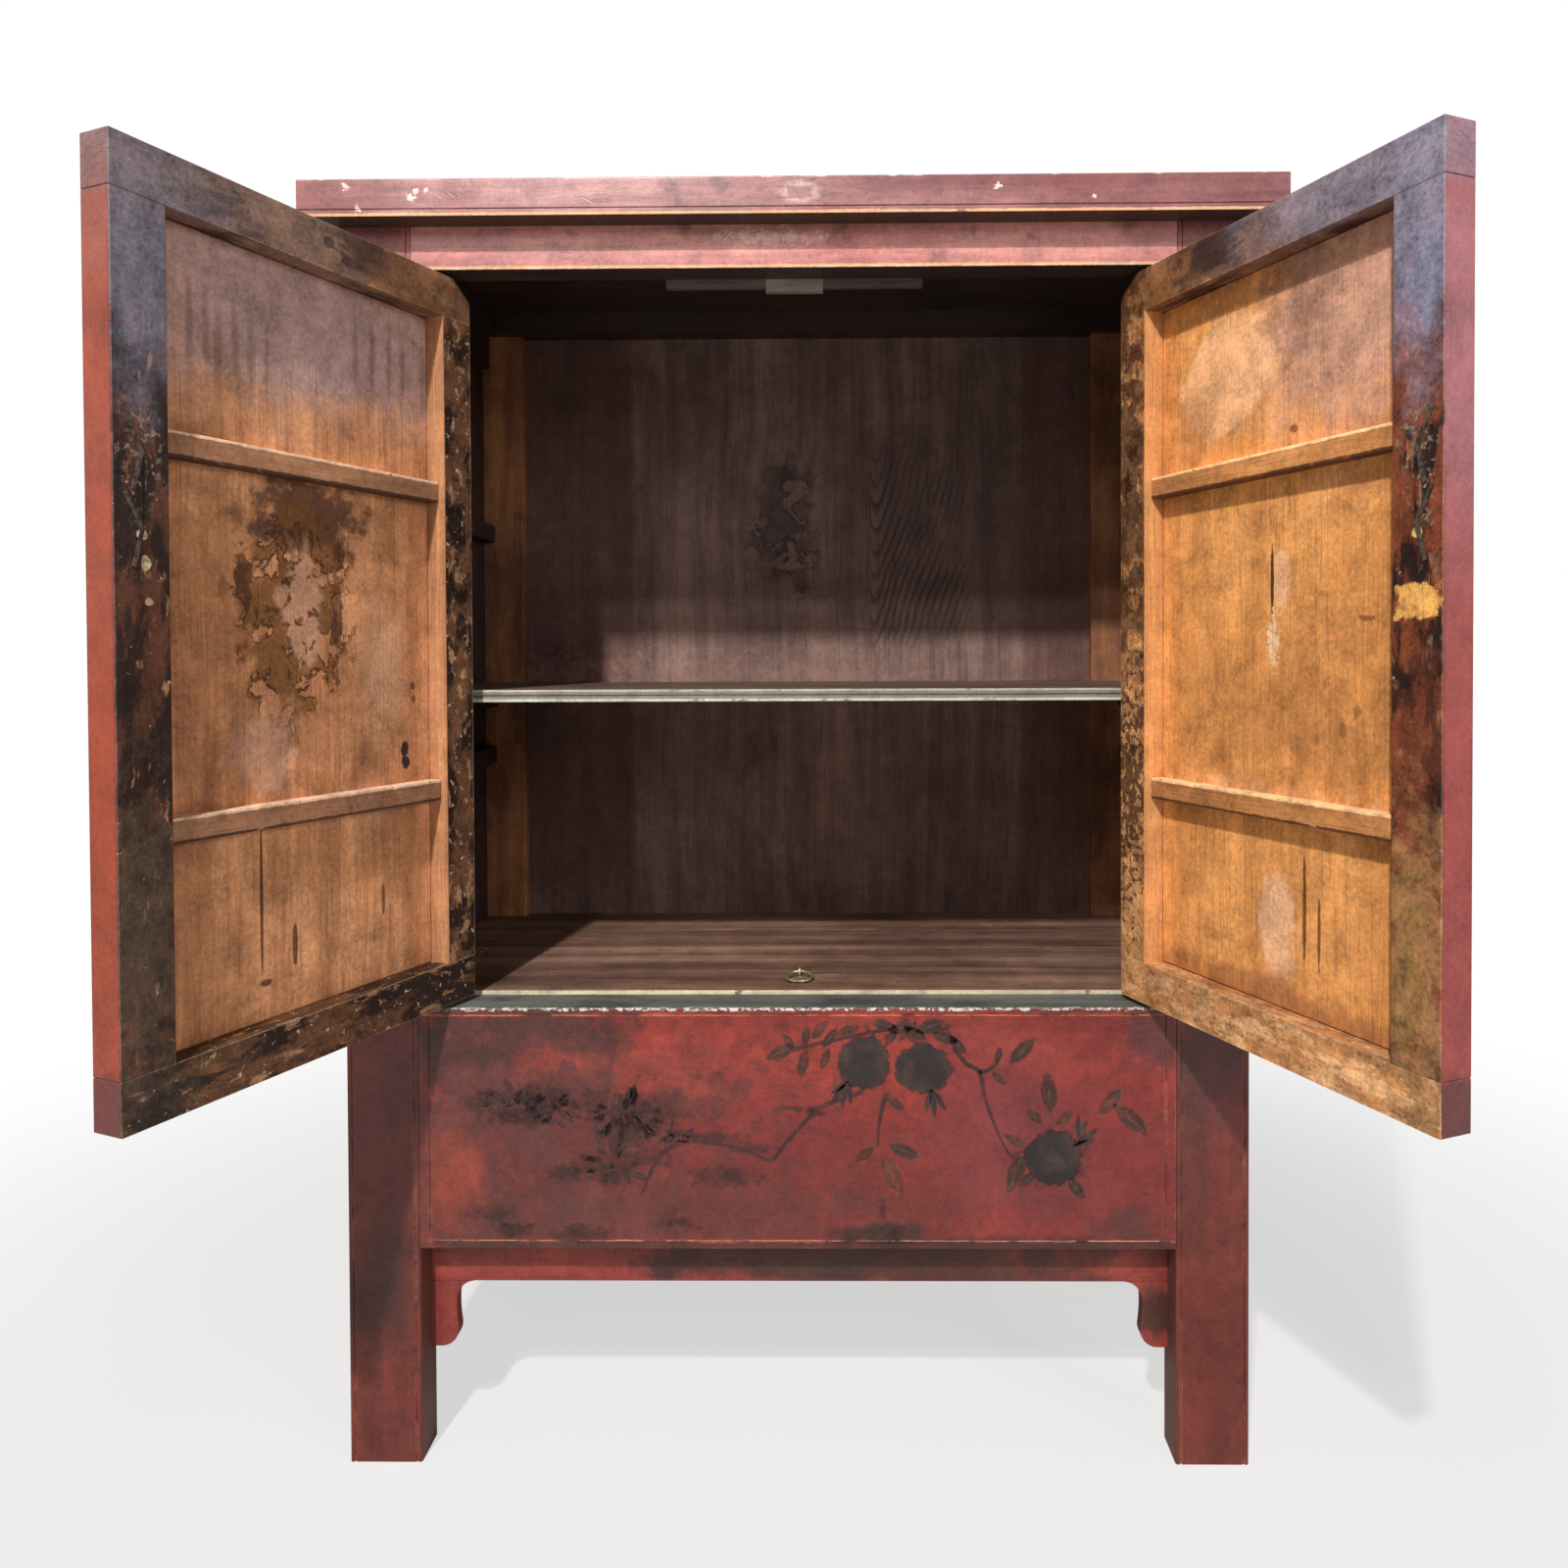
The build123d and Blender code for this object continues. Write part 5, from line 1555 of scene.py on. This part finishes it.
@dataclass
class Carcass:
    """Posts, rails, boards, crown and inner fittings."""

    nodes: dict[str, bpy.types.Object]
    overhang: float = 0.038
    # wood of the inside, very dark: old wood together with a painted shade for the dim interior
    inner: BareWood = BareWood(pale=srgb(70, 50, 44), dark=srgb(44, 32, 30), stain=srgb(30, 22, 22),
                               cover=0.3)

    def plain(self, name: str, finish: Finish, grain: Grain, coat: float = 0.0, marks: Sequence[Mark] = (),
              metal: float = 0.0, hidden: Optional[Patch] = None) -> bpy.types.Material:
        """A material of one finish with its marks.

        Args:
            name: the material's name.
            finish: the finish.
            grain: direction of the fibres.
            coat: weight of the clear coat.
            marks: marks in the piece's coordinates.
            metal: how metallic it is.
            hidden: where the piece shows the dark wood of the inside instead, dark partly as a painted shade.

        Returns:
            The material.
        """
        def paint(graph: Graph, where: Socket) -> Layers:
            """Lay out the finish and its marks.

            Args:
                graph: the material's graph.
                where: the piece's own coordinates.

            Returns:
                The surface.
            """
            layers = marked(graph, where,
                            finish.layers(graph, where, grain), marks)
            if hidden is None:
                return layers
            wood = self.inner.layers(graph, where, grain)
            return over(graph, hidden.mask(graph, where), layers, wood)
        return build_material(name, paint, coat=coat, metal=metal)

    def give(self, material: bpy.types.Material, names: Sequence[str], rounding: float = 0.001) -> None:
        """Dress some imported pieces.

        Args:
            material: their material.
            names: node names.
            rounding: width of the softened edges, or 0 for none.
        """
        for name in names:
            dress(self.nodes[name], material)
            if rounding:
                soften(self.nodes[name], rounding)

    def dress_crown(self) -> None:
        """Crown and frieze: faded pinkish lacquer paled partly by a painted sheen, with pale rubbed edges and
        a painted shadow under the crown.
        """
        cream, orange, shade = srgb(230, 206, 186), srgb(226, 166, 122), srgb(34, 22, 24)
        lip = FRONT_FACE - self.overhang
        # the crown's pale pink is faded lacquer together with a painted sheen
        lacquer = RedLacquer(base=srgb(158, 93, 91), faded=srgb(196, 144, 139), deep=srgb(116, 60, 60),
                             tarnish=srgb(74, 46, 46), undercoat=srgb(220, 172, 140), cover=0.28,
                             patch_scale=10.0, streaks=0.7, wear=0.66, gloss=0.34)
        chips = tuple(Patch((x, lip, z), (size, 0.01, size), cream, 0.95, 1.3, 220.0)
                      for x, z, size in ((-0.592, 1.740, 0.004), (-0.576, 1.710, 0.004),
                                         (-0.498, 1.733, 0.004), (-0.505, 1.724, 0.005),
                                         (-0.485, 1.734, 0.003), (0.273, 1.733, 0.004),
                                         (0.400, 1.719, 0.003)))
        mark = (Patch((0.012, lip, 1.7275), (0.026, 0.01, 0.014), srgb(206, 176, 168), 0.75,
                      0.3, 60.0, 0.3),
                Patch((0.012, lip, 1.7275), (0.017, 0.01, 0.008), srgb(150, 96, 92), 0.8,
                      0.3, 60.0, 0.2, 1.0))
        edges_and_underside_shade = (Patch((0.42, lip, 1.725), (0.40, 0.02, 0.05), srgb(112, 56, 58), 0.55, 0.3, 6.0, 0.6),
                 Line(2, 1.6985, 1.7040, orange, 0.8, 34.0),
                 Line(2, 1.7480, 1.7510, cream, 0.3, 26.0, lip + 0.004),
                 # painted shadow: a dark band on the underside of the crown, below its overhang
                 Patch((0.0, 0.0, 1.6998), (0.75, 0.75, 0.0006), shade, 0.95, 0.0, boxy=1.0, soft=0.2))
        # inner faces of the crown take the dark inside wood, partly a painted shade
        inside = Patch((0.0, 0.205, 1.70), (0.600, 0.280, 0.0445), cream, ragged=0.0, soft=0.003, boxy=1.0)
        rail = self.plain("crown_lacquer", lacquer, Grain.ACROSS, 0.3, edges_and_underside_shade + chips + mark, hidden=inside)
        self.give(rail, ["crown_front_rail", "crown_rear_rail", "crown_panel"], 0.0012)
        self.give(self.plain("crown_side_lacquer", lacquer, Grain.DEEP, 0.3, edges_and_underside_shade, hidden=inside),
                  ["left_crown_side_rail", "right_crown_side_rail"], 0.0012)
        # the frieze's pale pink is faded lacquer together with a painted sheen
        frieze = RedLacquer(base=srgb(196, 116, 108), faded=srgb(222, 156, 146), deep=srgb(144, 74, 70),
                            tarnish=srgb(84, 54, 50), undercoat=srgb(232, 192, 160), cover=0.14,
                            patch_scale=10.0, streaks=0.5, wear=0.0, gloss=0.32)
        # the frieze's hidden faces take the dark inside wood, partly a painted shade
        behind = Patch((0.0, 0.2105, 1.64), (0.7, 0.290, 0.0985), cream, ragged=0.0, soft=0.001, boxy=1.0)
        rubbed = (Line(2, 1.6410, 1.6462, orange, 0.85, 36.0), Line(2, 1.640, 1.6430, cream, 0.5, 60.0),
                  # pale patch on the frieze's front: a painted glare
                  Patch((-0.03, FRONT_FACE, 1.6835), (0.05, 0.01, 0.008), cream, 0.42, 1.8, 130.0, 0.4))
        self.give(self.plain("frieze_lacquer", frieze, Grain.ACROSS, 0.35, rubbed, hidden=behind),
                  ["front_frieze_rail"], 0.0006)
        log.info("crown and frieze dressed")

    def dress_posts(self) -> None:
        """Front posts: dull red, inner sides bare and dark."""
        none = srgb(0, 0, 0)
        joint = Patch((0.0, FRONT_FACE, 1.672), (0.530, 0.03, 0.034), none, ragged=0.0, boxy=1.0)
        lacquer = RedLacquer(base=srgb(112, 50, 43), faded=srgb(134, 60, 48), deep=srgb(84, 38, 36),
                             tarnish=srgb(60, 38, 35), undercoat=srgb(188, 122, 96), cover=0.36,
                             patch_scale=3.6, streaks=0.55, wear=0.82, edge_radius=0.0024, calm=(joint,))
        # the posts' inner sides take the dark inside wood, partly a painted shade
        inside = Patch((0.0, 0.0, 0.90), (0.5204, 0.0785, 0.91), none, ragged=0.0, soft=0.001, boxy=1.0)
        leg = Patch((0.0, 0.0, 0.15), (0.5204, 0.0785, 0.16), srgb(98, 52, 40), 0.8, 0.0,
                    soft=0.001, boxy=1.0)
        marks = (
            # pale pink band across the posts at frieze height: faded lacquer together with a painted sheen,
            # as on the frieze
            Patch((0.0, FRONT_FACE, 1.672), (0.63, 0.01, 0.032), srgb(160, 100, 94), 0.75, 0.3, 20.0,
                  0.3, 1.0),
            on_front(-0.57, 0.50, 0.05, 0.13, srgb(96, 52, 50), 0.6, 0.6, 12.0, 0.6),
            on_front(-0.59, 0.24, 0.04, 0.09, srgb(72, 46, 42), 0.6, 0.7, 12.0, 0.6),
            on_front(0.575, 0.56, 0.05, 0.07, srgb(74, 46, 46), 0.8, 0.6, 12.0, 0.5),
            on_front(0.535, 0.40, 0.03, 0.10, srgb(84, 50, 46), 0.5, 0.6, 12.0, 0.6),
            on_front(0.570, 0.20, 0.05, 0.15, srgb(100, 42, 33), 0.65, 0.6, 12.0, 0.6),
        )

        def paint(graph: Graph, where: Socket) -> Layers:
            """Lay out a post.

            Args:
                graph: the material's graph.
                where: the piece's own coordinates.

            Returns:
                The surface.
            """
            lacquered = marked(graph, where,
                               lacquer.layers(graph, where, Grain.UPRIGHT), marks)
            wood = self.inner.layers(graph, where, Grain.UPRIGHT)
            dim = over(graph, inside.mask(graph, where), lacquered, wood)
            return leg.paint(graph, where, dim)
        self.give(build_material("post_lacquer", paint, coat=0.15), ["left_front_post", "right_front_post"])
        log.info("posts dressed")

    def dress_lower_front(self) -> None:
        """Sill, board and lower rail as one painted face, then apron and brackets."""
        seams = tuple(Patch((0.0, FRONT_FACE, z), (0.60, 0.03, 0.004), srgb(0, 0, 0), ragged=0.0, boxy=1.0)
                      for z in (0.331, 0.597))
        board = RedLacquer(base=srgb(126, 46, 42), faded=srgb(144, 54, 45), deep=srgb(106, 42, 40),
                           tarnish=srgb(66, 42, 38), undercoat=srgb(206, 138, 108), cover=0.08,
                           patch_scale=3.0, streaks=0.4, wear=0.8, calm=seams)
        dull, dusk = srgb(98, 56, 52), srgb(62, 42, 38)
        marks = (
            on_front(-0.36, 0.46, 0.24, 0.17, dull, 0.75, 0.8, 9.0, 0.4),
            on_front(-0.36, 0.44, 0.22, 0.13, srgb(78, 46, 44), 0.6, 2.2, 26.0, 0.4),
            on_front(-0.05, 0.40, 0.40, 0.06, srgb(104, 46, 42), 0.5, 2.4, 20.0, 0.5),
            on_front(0.10, 0.56, 0.30, 0.03, srgb(170, 66, 52), 0.4, 2.2, 18.0, 0.6),
            on_front(-0.40, 0.60, 0.16, 0.035, dusk, 0.6, 1.0, 20.0, 0.5),
            on_front(-0.497, 0.575, 0.022, 0.045, dusk, 0.7, 0.6, 20.0, 0.5),
            on_front(-0.20, 0.33, 0.30, 0.05, srgb(92, 54, 48), 0.6, 0.8, 12.0, 0.7),
            on_front(0.03, 0.36, 0.30, 0.012, srgb(100, 50, 44), 0.5, 1.2, 18.0, 0.6),
            on_front(0.29, 0.45, 0.10, 0.13, srgb(122, 58, 60), 0.5, 0.5, 6.0, 0.7),
            on_front(0.12, 0.318, 0.07, 0.018, dusk, 0.9, 0.5, 26.0, 0.3),
            on_front(0.30, 0.305, 0.20, 0.010, dusk, 0.7, 0.6, 26.0, 0.5),
            on_front(0.45, 0.335, 0.055, 0.028, srgb(76, 46, 42), 0.75, 0.6, 18.0, 0.5),
            on_front(0.495, 0.60, 0.04, 0.05, srgb(74, 46, 46), 0.75, 0.6, 16.0, 0.5),
            on_front(0.0, 0.3025, 0.6, 0.004, dusk, 0.6, 0.4, 30.0, 0.4, 1.0),
            on_front(-0.47, 0.40, 0.035, 0.05, srgb(158, 72, 50), 0.6, 0.5, 14.0, 0.6),
            Line(2, 0.6205, 0.6225, srgb(196, 110, 82), 0.5, 20.0),
            Line(2, 0.3078, 0.3102, srgb(206, 140, 112), 0.62, 24.0),
        )
        self.give(self.plain("board_lacquer", board, Grain.ACROSS, 0.18, marks),
                  ["lower_front_panel", "lower_front_rail"], 0.0)
        self.give(self.sill_finish(board, marks), ["sill_rail"], 0.0)
        apron = RedLacquer(base=srgb(140, 56, 50), faded=srgb(152, 68, 56), deep=srgb(110, 44, 42),
                           cover=0.12, patch_scale=8.0, wear=0.6)
        patches = (
            Patch((-0.02, 0.0, 0.262), (0.20, 0.3, 0.030), dusk, 0.9, 0.7, 16.0, 0.4),
            Patch((0.20, 0.0, 0.255), (0.22, 0.3, 0.045), srgb(70, 46, 40), 0.85, 0.7, 18.0, 0.4),
        )
        self.give(self.plain("apron_lacquer", apron, Grain.ACROSS, 0.12, patches), ["front_apron"])
        bracket = (Patch((0.503, 0.0, 0.185), (0.030, 0.3, 0.034), srgb(62, 44, 38), 0.85, 0.5, 24.0, 0.4),)
        self.give(self.plain("bracket_lacquer", apron, Grain.UPRIGHT, 0.12, bracket),
                  ["left_front_bracket", "right_front_bracket"])
        log.info("lower front dressed")

    def sill_finish(self, board: RedLacquer, marks: Sequence[Mark]) -> bpy.types.Material:
        """Sill: red face, grey worn top and a ragged white line along its front edge.

        Args:
            board: the lacquer of its face.
            marks: the marks of the lower front.

        Returns:
            The material.
        """
        grey = BareWood(pale=srgb(116, 120, 112), dark=srgb(70, 72, 68), stain=srgb(44, 42, 42), cover=0.35,
                        stain_scale=16.0)

        def paint(graph: Graph, where: Socket) -> Layers:
            """Lay out the sill.

            Args:
                graph: the material's graph.
                where: the piece's own coordinates.

            Returns:
                The surface.
            """
            lacquer = board.layers(graph, where, Grain.ACROSS)
            red = marked(graph, where, lacquer, marks)
            top = grey.layers(graph, where, Grain.ACROSS)
            _, deep, up = graph.split(where)
            made = over(graph, graph.span(up, 0.6298, 0.6308), red, top)
            uneven = graph.math("MULTIPLY_ADD", graph.noise(where, 70.0, 5.0, 0.7), 0.012, -0.006)
            line = graph.product(graph.span(graph.math("ADD", up, uneven), 0.6268, 0.6288),
                                 graph.span(graph.math("ADD", deep, uneven), FRONT_FACE + 0.005,
                                            FRONT_FACE + 0.003))
            chips = graph.span(graph.noise(where, 120.0, 4.0, 0.75), 0.46, 0.55)
            share = graph.product(line, chips)
            return Layers(graph.mix(share, made.colour, srgb(216, 210, 204)),
                          graph.blend(share, made.roughness, 0.6), made.height)
        return build_material("sill_finish", paint, coat=0.1, bump=0.8)

    def dress_sides(self) -> None:
        """Side frames: plain worn lacquer outside, dark wood inside, dark partly as a painted shade."""
        lacquer = RedLacquer(base=srgb(116, 50, 44), faded=srgb(134, 64, 52), deep=srgb(88, 42, 38),
                             cover=0.3, patch_scale=3.5, wear=0.9)

        def two_sided(name: str, grain: Grain, wood: BareWood, edge: float) -> bpy.types.Material:
            """Lacquer on the outer side and bare wood on the inner one.

            Args:
                name: the material's name.
                grain: direction of the fibres.
                wood: the inner side.
                edge: where the lacquer starts, out from the middle of the cabinet.

            Returns:
                The material.
            """
            def paint(graph: Graph, where: Socket) -> Layers:
                """Lay out both sides.

                Args:
                    graph: the material's graph.
                    where: the piece's own coordinates.

                Returns:
                    The surface.
                """
                outer = lacquer.layers(graph, where, grain)
                inner = wood.layers(graph, where, grain)
                across = graph.math("ABSOLUTE", graph.split(where)[0])
                both = over(graph, graph.span(across, edge, edge - 0.003), outer, inner)
                return marked(graph, where, both, ())
            return build_material(name, paint, coat=0.08)
        rails = [f"{side.prefix}side_{level}_rail" for side in Side for level in ("top", "mid", "bottom")]
        self.give(two_sided("side_rail_finish", Grain.DEEP, self.inner, SIDE_WOOD_EDGE),
                  [*rails, "side_aprons"])
        self.give(two_sided("side_panel_finish", Grain.UPRIGHT, self.inner, SIDE_WOOD_EDGE),
                  ["left_side_upper_panel", "right_side_upper_panel", "side_lower_panels"])
        post = BareWood(pale=srgb(192, 128, 82), dark=srgb(122, 78, 56), stain=srgb(60, 40, 32), cover=0.38,
                        streaks=0.8, edge=srgb(190, 138, 98), edge_amount=0.8)
        self.give(two_sided("rear_post_finish", Grain.UPRIGHT, post, REAR_POST_WOOD_EDGE),
                  ["left_rear_post", "right_rear_post"])
        # side battens and shelf bearers take the dark inside wood, partly a painted shade
        self.give(self.plain("side_batten_wood", self.inner, Grain.DEEP), ["side_battens", "shelf_bearers"])
        log.info("sides dressed")

    def dress_inside(self) -> None:
        """Back, shelf, floor, lid, stop and the low compartment."""
        # rear frame rails take the dark inside wood, partly a painted shade
        self.give(self.plain("rear_frame_wood", self.inner, Grain.ACROSS),
                  ["rear_top_rail", "rear_mid_rail", "rear_bottom_rail"])
        self.give(self.back_finish(), ["rear_upper_boards", "rear_lower_panel"], 0.0007)
        floor = BareWood(pale=srgb(160, 122, 102), dark=srgb(78, 55, 46), stain=srgb(46, 32, 29), cover=0.2,
                         grain_scale=26.0, edge=srgb(214, 184, 150), edge_amount=1.1, roughness=0.5,
                         streaks=0.85)
        self.give(self.plain("floor_wood", floor, Grain.ACROSS),
                  ["rear_floor_board", "floor_end_boards", "floor_bearers", "compartment_floor"])
        # the cream line along the lid's front edge is a painted highlight
        self.give(self.plain("lid_wood", floor, Grain.ACROSS,
                             marks=(Line(1, -0.0167, -0.0152, srgb(216, 206, 172), 0.9, 26.0, wave=0.0008),)),
                  ["floor_lid"], 0.0008)
        shelf = BareWood(pale=srgb(120, 94, 80), dark=srgb(78, 58, 50), stain=srgb(48, 36, 34), cover=0.2,
                         edge=srgb(176, 172, 152), edge_amount=0.9, roughness=0.5)
        # the grey band at the shelf's front is a painted reflection on its dark edge, and the pale lines
        # along its arrises are wear together with a painted highlight
        self.give(self.plain("shelf_wood", shelf, Grain.ACROSS, marks=(
            Line(1, -0.0074, -0.0050, srgb(126, 122, 112), 1.0, 26.0, wave=0.0006),
            Line(2, 1.0640, 1.0668, srgb(178, 174, 154), 0.7, 30.0, -0.0050, 0.0008),
            Line(2, 1.0500, 1.0536, srgb(196, 196, 176), 0.75, 30.0, -0.0050, 0.0008))), ["shelf"], 0.0008)
        pale = BareWood(pale=srgb(112, 98, 92), dark=srgb(80, 68, 64), stain=srgb(52, 42, 40))
        light = BareWood(pale=srgb(168, 152, 142), dark=srgb(124, 108, 100), stain=srgb(90, 76, 70))
        self.give(self.plain("stop_strip_wood", pale, Grain.ACROSS), ["door_stop_cleats"], 0.0005)
        self.give(self.plain("stop_block_wood", light, Grain.ACROSS), ["door_stop"], 0.0005)
        log.info("inside dressed")

    def back_finish(self) -> bpy.types.Material:
        """Upright boards of the back, with one broad arched figure.

        Returns:
            The material.
        """
        wood = BareWood(pale=srgb(152, 120, 108), dark=srgb(92, 70, 66), stain=srgb(48, 35, 37), cover=0.16,
                        grain_scale=30.0, edge=srgb(120, 98, 84), edge_amount=0.5, streaks=0.7)
        marks = (
            Patch((-0.43, 0.47, 1.3), (0.11, 0.05, 0.6), srgb(92, 62, 56), 0.7, 0.1, 9.0, 0.1, 1.0),
            Patch((0.47, 0.47, 1.3), (0.075, 0.05, 0.6), srgb(96, 62, 54), 0.6, 0.1, 9.0, 0.15, 1.0),
            Peeling((-0.045, 0.47, 1.36), (0.055, 0.03, 0.13), srgb(72, 58, 54), 0.8, 0.7, 18.0, 0.4,
                    rim=srgb(40, 30, 30), level=0.5, flakes=26.0),
            Patch((-0.22, 0.47, 1.08), (0.30, 0.03, 0.03), srgb(176, 136, 118), 0.25, 1.6, 70.0, 0.8),
        )

        def paint(graph: Graph, where: Socket) -> Layers:
            """Lay out the boards and their figure.

            Args:
                graph: the material's graph.
                where: the piece's own coordinates.

            Returns:
                The surface.
            """
            body = wood.layers(graph, where, Grain.UPRIGHT)
            body = marked(graph, where, body, marks)
            figure = graph.effect("arches", Vector=where, Spacing=0.043, Left=9.0, Right=3.2,
                                  Centre=(0.118, 0.47, 1.15))["Lines"]
            across, _, up = graph.split(where)
            near = graph.span(graph.math("ABSOLUTE", graph.math("SUBTRACT", across, 0.165)), 0.17, 0.08)
            worn = graph.span(graph.noise(where, 11.0, 4.0), 0.3, 0.6)
            share = graph.product(figure, near, graph.span(up, 1.56, 1.40), graph.span(up, 1.08, 1.20),
                                  worn, 0.8)
            return Layers(graph.mix(share, body.colour, srgb(50, 38, 35)), body.roughness,
                          graph.math("MULTIPLY_ADD", share, -0.5, body.height))
        return build_material("back_board_wood", paint)

    def dress_metal(self) -> None:
        """Rings, rose and pins."""
        self.give(self.plain("pale_brass", OldMetal(), Grain.UPRIGHT, metal=0.85),
                  ["lid_ring", "lid_rose", "lid_ring_pin", "left_door_pull", "right_door_pull"], 0.0)
        iron = OldMetal(clean=srgb(104, 92, 80), dull=srgb(50, 40, 36), roughness=0.5)
        self.give(self.plain("dark_iron", iron, Grain.UPRIGHT, metal=0.35),
                  ["left_door_split_pins", "right_door_split_pins"], 0.0)
        log.info("metal dressed")

    def build(self) -> None:
        """Dress the whole carcass."""
        self.dress_crown()
        self.dress_posts()
        self.dress_lower_front()
        self.dress_sides()
        self.dress_inside()
        self.dress_metal()


# --------------------------------------------------------------------------- the studio
@dataclass(frozen=True)
class Lamp:
    """A rectangular area lamp."""

    name: str
    place: Point
    aim: Point
    width: float
    height: float
    watts: float

    def build(self) -> None:
        """Hang the lamp."""
        data = bpy.data.lights.new(self.name, "AREA")
        data.shape = "RECTANGLE"
        data.size, data.size_y = self.width, self.height
        data.energy = self.watts
        lamp = bpy.data.objects.new(self.name, data)
        bpy.context.scene.collection.objects.link(lamp)
        lamp.location = self.place
        lamp.rotation_mode = "QUATERNION"
        lamp.rotation_quaternion = (Vector(self.aim) - Vector(self.place)).to_track_quat("-Z", "Y")


@dataclass(frozen=True)
class Studio:
    """Pale floor, soft lamps and the camera."""

    eye: Point = (0.0676, -1.6092, 1.1142)
    yaw: float = -0.5955
    pitch: float = -0.8939
    roll: float = -0.2235
    lens: float = 25.731
    shift: tuple[float, float] = (-0.0308, -0.0706)
    ambient: float = 0.085
    lamps: tuple[Lamp, ...] = (
        Lamp("upper_key", (-1.25, -4.82, 5.92), (0.0, 0.2, 1.2), 0.2, 0.2, 455.0),
        Lamp("lower_key", (-1.20, -5.15, 5.56), (0.0, 0.2, 1.2), 0.2, 0.2, 70.0),
        Lamp("window", (-1.9, -4.1, 3.2), (0.4, 0.0, 1.5), 2.2, 1.2, 17.0),
        Lamp("side_fill", (3.4, -3.2, 2.6), (-0.3, -0.2, 1.1), 1.8, 1.4, 62.0),
    )

    def build(self) -> None:
        """Place everything and set the view transform."""
        scene = bpy.context.scene
        scene.view_settings.view_transform = "Standard"
        self.camera(scene)
        for lamp in self.lamps:
            lamp.build()
        self.sky(scene)
        self.ground()
        log.info("studio ready")

    def camera(self, scene: bpy.types.Scene) -> None:
        """Make the camera at its place and angle.

        Args:
            scene: the scene that it films.
        """
        data = bpy.data.cameras.new("view")
        data.lens = self.lens
        data.sensor_width = 36.0
        data.shift_x, data.shift_y = self.shift
        camera = bpy.data.objects.new("view", data)
        scene.collection.objects.link(camera)
        turn = (Matrix.Rotation(math.radians(-self.yaw), 4, "Z")
                @ Matrix.Rotation(math.radians(90.0 + self.pitch), 4, "X")
                @ Matrix.Rotation(math.radians(self.roll), 4, "Z"))
        camera.matrix_world = Matrix.Translation(self.eye) @ turn
        scene.camera = camera

    def sky(self, scene: bpy.types.Scene) -> None:
        """White background and reflections with a softer ambient light on the object.

        Args:
            scene: the scene that gets the world.
        """
        scene.world = bpy.data.worlds.new("studio")
        graph = emptied(scene.world)
        path = graph.add("ShaderNodeLightPath").outputs
        seen = graph.math("MAXIMUM", path["Is Camera Ray"], path["Is Transmission Ray"])
        seen = graph.math("MAXIMUM", seen, path["Is Glossy Ray"])
        light = graph.add("ShaderNodeBackground")
        light.inputs["Color"].default_value = (1, 1, 1, 1)
        light.inputs["Strength"].default_value = self.ambient
        white = graph.add("ShaderNodeBackground")
        white.inputs["Color"].default_value = (1, 1, 1, 1)
        graph.choose(seen, light, white, "ShaderNodeOutputWorld")

    def ground(self) -> None:
        """Pale floor that keeps the cabinet's shadow and fades to white away from it."""
        shape = bmesh.new()
        bmesh.ops.create_grid(shape, x_segments=1, y_segments=1, size=40.0)
        mesh = bpy.data.meshes.new("studio_floor")
        shape.to_mesh(mesh)
        shape.free()
        floor = bpy.data.objects.new("studio_floor", mesh)
        bpy.context.scene.collection.objects.link(floor)
        material = bpy.data.materials.new("pale_floor")
        graph = emptied(material)
        far = graph.vector("LENGTH", graph.add("ShaderNodeTexCoord").outputs["Object"])
        seen = graph.add("ShaderNodeLightPath").outputs["Is Camera Ray"]
        share = graph.product(seen, graph.span(far, 0.9, 2.6, 0.62, 1.0))
        matt = graph.add("ShaderNodeBsdfDiffuse")
        matt.inputs["Color"].default_value = srgb(214, 212, 208)
        graph.choose(share, matt, graph.add("ShaderNodeEmission"), "ShaderNodeOutputMaterial")
        mesh.materials.append(material)


def main() -> None:
    """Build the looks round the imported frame."""
    logging.basicConfig(level=logging.INFO, format="%(name)s: %(message)s")
    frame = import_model()
    nodes = frame["nodes"]
    Effects().build()
    Studio().build()
    Carcass(nodes).build()
    left_door(nodes).build()
    right_door(nodes).build()
    PaintedBranch(FRONT_FACE).build()


if __name__ == "__main__":
    main()
